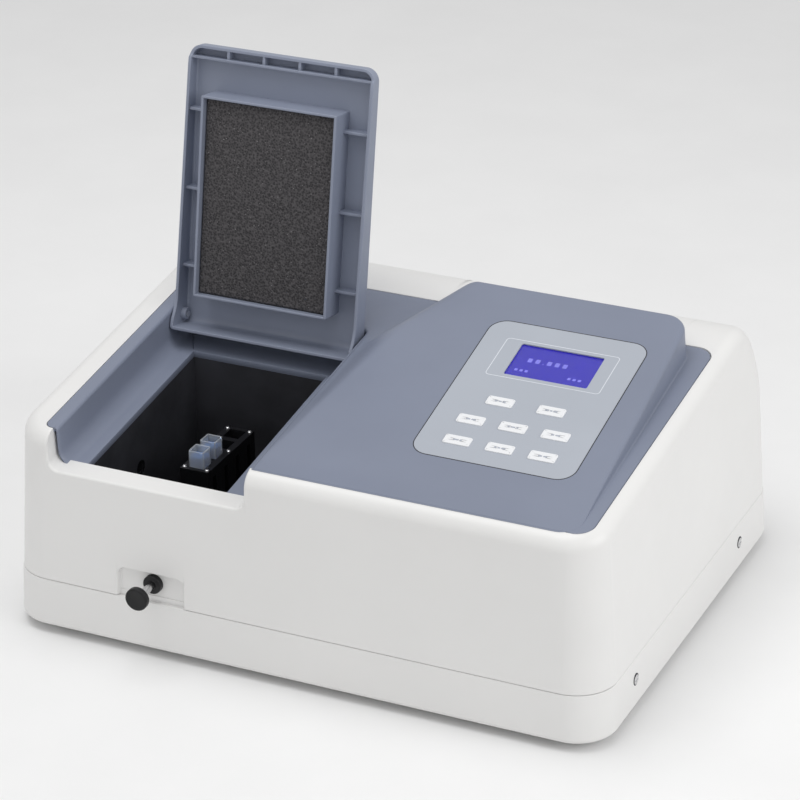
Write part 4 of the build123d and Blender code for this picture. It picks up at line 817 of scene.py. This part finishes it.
def keys():
    """White keys: a profile carried round a rounded rectangle goes straight up, over most of a
    quarter circle and in to a nearly flat top. Short printed dashes stand on it, centred as a row."""
    dashes = [(2.2, 2.2, 2.2), (3.0, 1.6, 3.0), (3.4, 3.4), (1.6, 3.2, 1.6), (2.4, 3.6), (4.2, 1.6),
              (1.8, 1.8, 3.2), (3.0, 3.0)]
    dash_gap, dash_half = 0.9, 0.75
    for number, ((x, y), marks) in enumerate(zip(KEY_PLACES, dashes), start=1):
        up = up_console(y)
        xs, ys = (x - KEY_SIZE[0] / 2, x + KEY_SIZE[0] / 2), (up - KEY_SIZE[1] / 2, up + KEY_SIZE[1] / 2)
        outline, outward = rounded_rectangle(xs, ys, 1.7, 6)
        profile = np.concatenate([[(0, -1.8)], arc((-0.5, 0.45), 0.5, 0, 80, 5),
                                  [(-2.2, 0.94), (-3.6, 0.93)]])
        skin = Skin().grid(ring_loft(outline, outward, profile, CONSOLE), around=True, ends=(True, True))
        at = x - (sum(marks) + dash_gap * (len(marks) - 1)) / 2
        for wide in marks:
            slab(skin, CONSOLE, (at, at + wide), (up - dash_half, up + dash_half), (0.91, 0.97), 0.3, 0.03,
                 tag=1, steps=2)
            at += wide + dash_gap
        mesh_piece(f"key_cap_{number}", skin, f"button_{number}", [KEY_WHITE, INK],
                   [f"key_{number}"])


# ------------------------------------------------------------------ lid
def lid():
    """Open lid: one closed strip carried round its rounded outline, from the outer skin over its edge,
    up the wall to a rim whose height falls from the hinge to the free edge, over the rim's land and down
    to the inner skin. The tail follows a circle about the hinge. Ribs, bosses and the foam's frame are
    slabs that stand in it."""
    tail = 9.5
    corners = (3.0, 3.0, 10.0, 10.0)
    outline = rounded_rectangle(LID_X, (-tail, LID_LENGTH), corners, 9, 40)[0]
    rim_at = ((-9.5, -3, 4, 12, 197.5, 200.5, 208), (16.8, 16.6, 12.5, 9.8, 4.6, 2.2, 2.1))
    rim = np.interp(outline[:, 1], *rim_at)

    def inset(reach):
        """The outline moved inwards, its corners growing tighter, with the same number of points."""
        radii = np.maximum(np.array(corners) + reach, 0.4)
        return rounded_rectangle((LID_X[0] - reach, LID_X[1] + reach), (-tail - reach, LID_LENGTH + reach),
                                 radii, 9, 40)[0]

    def skin_depth(line, depth, radius):
        """Depth of a skin along a line of points, on the tail's circle near the hinge."""
        along = np.minimum(line[:, 1], 0)
        return np.maximum(depth, -np.sqrt(np.maximum(radius ** 2 - along ** 2, 0)))

    rows = [(inset(reach), skin_depth(inset(reach), LID_SKIN, tail))
            for reach in (-40.0, -16.0, -9.0, -6.0, -4.0)]
    for point in arc((-3.0, 3.0), 3.0, -90, 0, 6):
        rows.append((inset(point[0]), skin_depth(inset(point[0]), LID_SKIN, tail) + point[1]))
    rows += [(inset(point[0]), rim + point[1]) for point in arc((-0.7, -0.7), 0.7, 0, 90, 4)]
    rows += [(inset(point[0] - 0.5), rim + point[1]) for point in arc((-1.5, -0.5), 0.5, 90, 180, 3)]
    floor = LID_SKIN + LID_T
    for point in arc((-4.3, 1.5), 1.5, 0, -90, 4):
        line = inset(point[0])
        rows.append((line, np.minimum(skin_depth(line, floor, tail - LID_T) + point[1], rim - 1.0)))
    rows += [(inset(reach), skin_depth(inset(reach), floor, tail - LID_T))
             for reach in (-6.5, -9.0, -16.0, -40.0)]
    points = [np.concatenate([line, depth[:, None]], -1) for line, depth in rows]
    skin = Skin().grid(LID.place(np.stack(points)), around=True, ends=(True, True))

    low, inside, rib = floor - 0.5, (LID_X[0] + 2, LID_X[1] - 2), 1.1
    frame_x = (-173, -62)
    slab(skin, LID, inside, (197.6, 199.6), (low, 2.9), 0.3, 0.5)
    for step in (-1.5, -0.5, 0.5, 1.5):
        x = sum(LID_X) / 2 + 29.4 * step
        slab(skin, LID, (x - rib, x + rib), (199.0, 206.4), (low, 1.9), 0.3, 0.5)
    for along in (39.0, 99.0, 159.5):
        for xs in ((inside[0], frame_x[0] + 0.5), (frame_x[1] - 0.5, inside[1])):
            slab(skin, LID, xs, (along - rib, along + rib), (low, 4.0), 0.3, 0.5)
    boss = [(4.6, 0), (4.6, 3.5), (4.2, 4.1), (2.6, 4.1), (2.6, 0)]
    for x, way in ((LID_X[0] + 2.2, 1), (LID_X[1] - 2.2, -1)):
        lathe(skin, (x, HINGE_Y, HINGE_Z), (way, 0, 0), boss)
    frame_line, frame_dir = rounded_rectangle(frame_x, (19.7, 173.7), 1.2, 5)
    wall = np.concatenate([[(0, low), (0, 16.9)], arc((-0.6, 17.0), 0.6, 0, 90, 3),
                           arc((-1.4, 17.0), 0.6, 90, 180, 3), [(-2, low), (0, low)]])
    skin.grid(ring_loft(frame_line, frame_dir, wall, LID), around=True)
    # The lid takes the lighter copy of the grey moulding, which is painted light.
    mesh_piece("lid_moulding", skin, "lid_body", LIT_LID_GREY, ["lid"], sharp=42)


def lid_foam():
    """Light-seal foam: a slightly crowned block with soft edges, rough with open cells. The height is a
    crown that falls to the sides, less the edge rounding, plus seeded noise at the size of the cells."""
    x = np.linspace(*FOAM_X, 150)
    along = np.linspace(*FOAM_L, 208)
    across, up = np.meshgrid(x, along)
    u = (across - sum(FOAM_X) / 2) / (FOAM_X[1] - FOAM_X[0]) * 2
    v = (up - sum(FOAM_L) / 2) / (FOAM_L[1] - FOAM_L[0]) * 2
    crown = 1.3 * (1 - u ** 4) * (1 - v ** 4)
    border = np.minimum(np.minimum(across - FOAM_X[0], FOAM_X[1] - across),
                        np.minimum(up - FOAM_L[0], FOAM_L[1] - up))
    edge = 2.2
    drop = edge - np.sqrt(np.maximum(edge ** 2 - np.maximum(edge - border, 0) ** 2, 0))
    cells = np.random.default_rng(11).normal(size=across.shape)
    cells = (cells + np.roll(cells, 1, 0) + np.roll(cells, 1, 1) + np.roll(cells, (1, 1), (0, 1))) / 4
    depth = FOAM_D - 1.3 + crown - drop + 0.28 * cells * np.minimum(border / 2, 1)
    local = np.stack([across, up, depth], -1)
    loop = np.concatenate([local[0, :-1], local[:-1, -1], local[-1, :0:-1], local[:0:-1, 0]])
    foot = loop.copy()
    foot[:, 2] = LID_SKIN + LID_T
    skin = Skin().grid(LID.place(local))
    skin.grid(LID.place(np.stack([foot, loop])), around=True, ends=(True, False))
    pad = mesh_piece("foam_pad", skin, "lid_body", FOAM, ["lid_foam"], sharp=180, weighted=False)


# ------------------------------------------------------------------ cells, pull rod and screws
def cells():
    """Square clear cells: outer wall, rounded rim, inner wall and floor in one closed strip, with dyed
    water in each one."""
    for number, y in enumerate(CELL_YS, start=1):
        half, wall = 6.25, 1.2
        outline, outward = rounded_rectangle((CELL_X - half, CELL_X + half), (y - half, y + half), 1.3, 6)
        strip = np.concatenate([
            [(-1.6, 87.0)], arc((-0.5, 87.5), 0.5, -90, 0, 3), arc((-0.4, 131.6), 0.4, 0, 90, 3),
            arc((-wall + 0.4, 131.6), 0.4, 90, 180, 3), arc((-wall - 0.8, 89.4), 0.8, 0, -90, 3)])
        skin = Skin().grid(ring_loft(outline, outward, strip), around=True, ends=(True, True))
        mesh_piece(f"cell_{number}_wall", skin, f"cell_{number}", CELL, [f"cuvette_{number}"])
        water = np.concatenate([[(-wall - 0.9, 88.7)], arc((-wall - 0.75, 89.5), 0.7, -90, 0, 3),
                                [(-wall - 0.05, 126.3), (-wall - 0.5, 125.9), (-wall - 1.4, 125.7)]])
        skin = Skin().grid(ring_loft(outline, outward, water), around=True, ends=(True, True))
        mesh_piece(f"cell_{number}_water", skin, f"cell_{number}", LIQUID,
                   [f"sample_liquid_{number}"])


def pull_handle():
    """Knob with a shallow dish, and the flanged bushing that the rod runs in: each is a profile of
    radius and height turned about the rod's axis."""
    rim = np.concatenate([[(3.0, 0.2), (7.9, 0.0)], arc((8.15, 0.6), 0.6, -90, 0, 3),
                          arc((7.35, 3.6), 1.4, 0, 90, 6), [(5.5, 4.8), (2.5, 4.55)]])
    skin = lathe(Skin(), (CELL_X, FRONT - 17, ROD_Z), (0, -1, 0), rim)
    mesh_piece("knob_turned", skin, "cell_carriage", BLACK, ["pull_knob"])
    wall_y = FRONT + LEAN * (ROD_Z - TRAY_Z) + BAY_DEPTH
    collar = np.concatenate([
        [(4.8, -5.0), (5.4, -5.0), (5.4, 0.0), (7.2, 0.0)], arc((6.2, 3.5), 1.0, 0, 90, 4),
        [(4.4, 4.5), (3.8, 4.1), (3.2, 4.1), (3.2, -5.0), (4.8, -5.0)]])
    skin = lathe(Skin(), (CELL_X, wall_y, ROD_Z), (0, -1, 0), collar, ends=(False, False))
    mesh_piece("bushing_turned", skin, "housing", BLACK, ["rod_bushing"])


def cross_head(skin, centre, axis, radius, dome):
    """Screw head on a polar grid: a dome, less a cross-shaped recess with soft sides, and a short
    rim. The dome's height goes as the root of one less most of the square of the radius share."""
    axis = np.array(axis, float)
    side = (0, 0, 1) if abs(axis[2]) < 0.9 else (1, 0, 0)
    turned = Plane(centre, np.cross(side, axis) if abs(axis[2]) < 0.9 else side, axis)
    r = np.concatenate([np.linspace(0.02, 0.8, 16), np.linspace(0.85, 1, 5)])[::-1, None] * radius
    angle = np.linspace(0, 2 * np.pi, 64, endpoint=False)[None]
    a, b = r * np.cos(angle), r * np.sin(angle)
    arm, reach = radius * 0.14, radius * 0.62
    cross = (smoothstep((arm - np.minimum(np.abs(a), np.abs(b))) / (0.1 * radius) + 0.5)
             * smoothstep((reach - np.maximum(np.abs(a), np.abs(b))) / (0.12 * radius) + 0.5))
    height = dome * np.sqrt(np.maximum(1 - (r / radius) ** 2 * 0.93, 0)) - 0.77 * dome * cross
    top = np.stack([a, b, height], -1)
    foot = top[:1].copy()
    foot[..., 2] = -0.4 * dome
    skin.grid(turned.place(np.concatenate([foot, top])), around=True, ends=(True, True))
    return skin


def screws():
    """Chrome screws in the holder's top, and in recesses low on both sides of the tray. The recess round each
    side head is drawn as a flat dark ring of painted shade.
    """
    skin = Skin()
    for x in (CELL_X - 9.2, CELL_X + 9.2):
        for y in HOLDER_SCREW_YS:
            cross_head(skin, (x, y, HOLDER_TOP), (0, 0, 1), 1.7, 1.1)
    mesh_piece("holder_screw_heads", skin, "cell_carriage", STEEL, ["holder_screws"])
    heads = Skin()
    for side in (-1, 1):
        surface = side * (WIDTH / 2 - LEAN * (TRAY_SCREW_Z - TRAY_Z))
        for y in TRAY_SCREW_YS:
            # Flat ring in the shadow_gap finish under each head: painted shade of the recess.
            lathe(heads, (surface, y, TRAY_SCREW_Z), (side, 0, 0),
                  [(4.7, -1.0), (4.7, 0.1), (4.4, 0.22), (3.4, 0.22)], tag=1)
            cross_head(heads, (surface + side * 0.2, y, TRAY_SCREW_Z), (side, 0, 0), 3.7, 0.75)
    mesh_piece("tray_screw_heads", heads, "housing", [STEEL, SHADOW], ["side_screws"])


def fan_guard():
    """Wire guard: round wire carried round four circles and four small loops, joined by four
    straight spokes."""
    inner = np.array(FAN_CENTRE) - (0, 0.9, 0)         # spokes and loops lie inside the rings
    face, loops = (Plane(place, (1, 0, 0), (0, 1, 0)) for place in (FAN_CENTRE, inner))
    angle = np.linspace(0, 2 * np.pi, 72, endpoint=False)
    circle = np.stack([np.cos(angle), np.sin(angle)], -1)
    skin = Skin()
    for radius in (7.0, 13.5, 20.0, 26.5):
        tube_ring(skin, radius * circle, circle, 0.8, face)
    for turn in np.radians((45, 135, 225, 315)):
        way = np.array((np.cos(turn), 0, -np.sin(turn)))
        lathe(skin, inner + way * 6.5, way, [(0.7, 0), (0.7, 26.5)], steps=10)
        end = way[[0, 2]] * np.array((1, -1)) * 34.5
        tube_ring(skin, end + 2.2 * circle, circle, 0.7, loops)
    mesh_piece("guard_wires", skin, "housing", STEEL, ["fan_guard"], weighted=False)


# ------------------------------------------------------------------ floor, light and camera
def studio():
    """Pale floor, soft light from above and the right, and the camera."""
    floor_mesh = bpy.data.meshes.new("floor")
    reach = 9.0
    floor_mesh.from_pydata([(-reach, -reach, 0), (reach, -reach, 0), (reach, reach, 0), (-reach, reach, 0)],
                           [], [(0, 1, 2, 3)])
    floor_mesh.materials.append(moulded("floor_paper", (0.88, 0.88, 0.88), 0.7, 0.01, 300.0, 0.00003, 0.1))
    floor = bpy.data.objects.new("floor", floor_mesh)
    bpy.context.scene.collection.objects.link(floor)

    world = bpy.data.worlds.new("studio")
    bpy.context.scene.world = world
    world.use_nodes = True
    world.node_tree.nodes["Background"].inputs["Color"].default_value = (1.0, 1.0, 1.0, 1.0)
    world.node_tree.nodes["Background"].inputs["Strength"].default_value = 0.60

    for name, place, size, power in LIGHTS:
        lamp = bpy.data.lights.new(name, "AREA")
        lamp.size, lamp.energy = size, power
        light = bpy.data.objects.new(name, lamp)
        light.location = place
        light.rotation_euler = (Vector((0, 0, 0.1)) - Vector(place)).to_track_quat("-Z", "Y").to_euler()
        bpy.context.scene.collection.objects.link(light)

    lens = bpy.data.cameras.new("camera")
    lens.lens, lens.sensor_width = LENS, 36.0
    lens.clip_start, lens.clip_end = 0.1, 50.0
    camera = bpy.data.objects.new("camera", lens)
    azimuth, elevation, roll = np.radians(CAMERA_TURN)
    back = np.array((np.sin(azimuth) * np.cos(elevation), -np.cos(azimuth) * np.cos(elevation),
                     np.sin(elevation)))
    right = np.array((np.cos(azimuth), np.sin(azimuth), 0.0))
    up = np.cross(back, right)
    turned_right = np.cos(roll) * right + np.sin(roll) * up
    turned_up = -np.sin(roll) * right + np.cos(roll) * up
    camera.matrix_world = Matrix([[*pair, at] for pair, at in zip(
        np.stack([turned_right, turned_up, back], -1).tolist(), CAMERA_AT)] + [[0, 0, 0, 1]])
    bpy.context.scene.collection.objects.link(camera)
    bpy.context.scene.camera = camera
    bpy.context.scene.view_settings.view_transform = "Standard"


studio()
for make in (upper_housing, base_tray, top_deck, keypad_overlay, display, keys, lid, lid_foam, cells,
             pull_handle, screws, fan_guard):
    make()
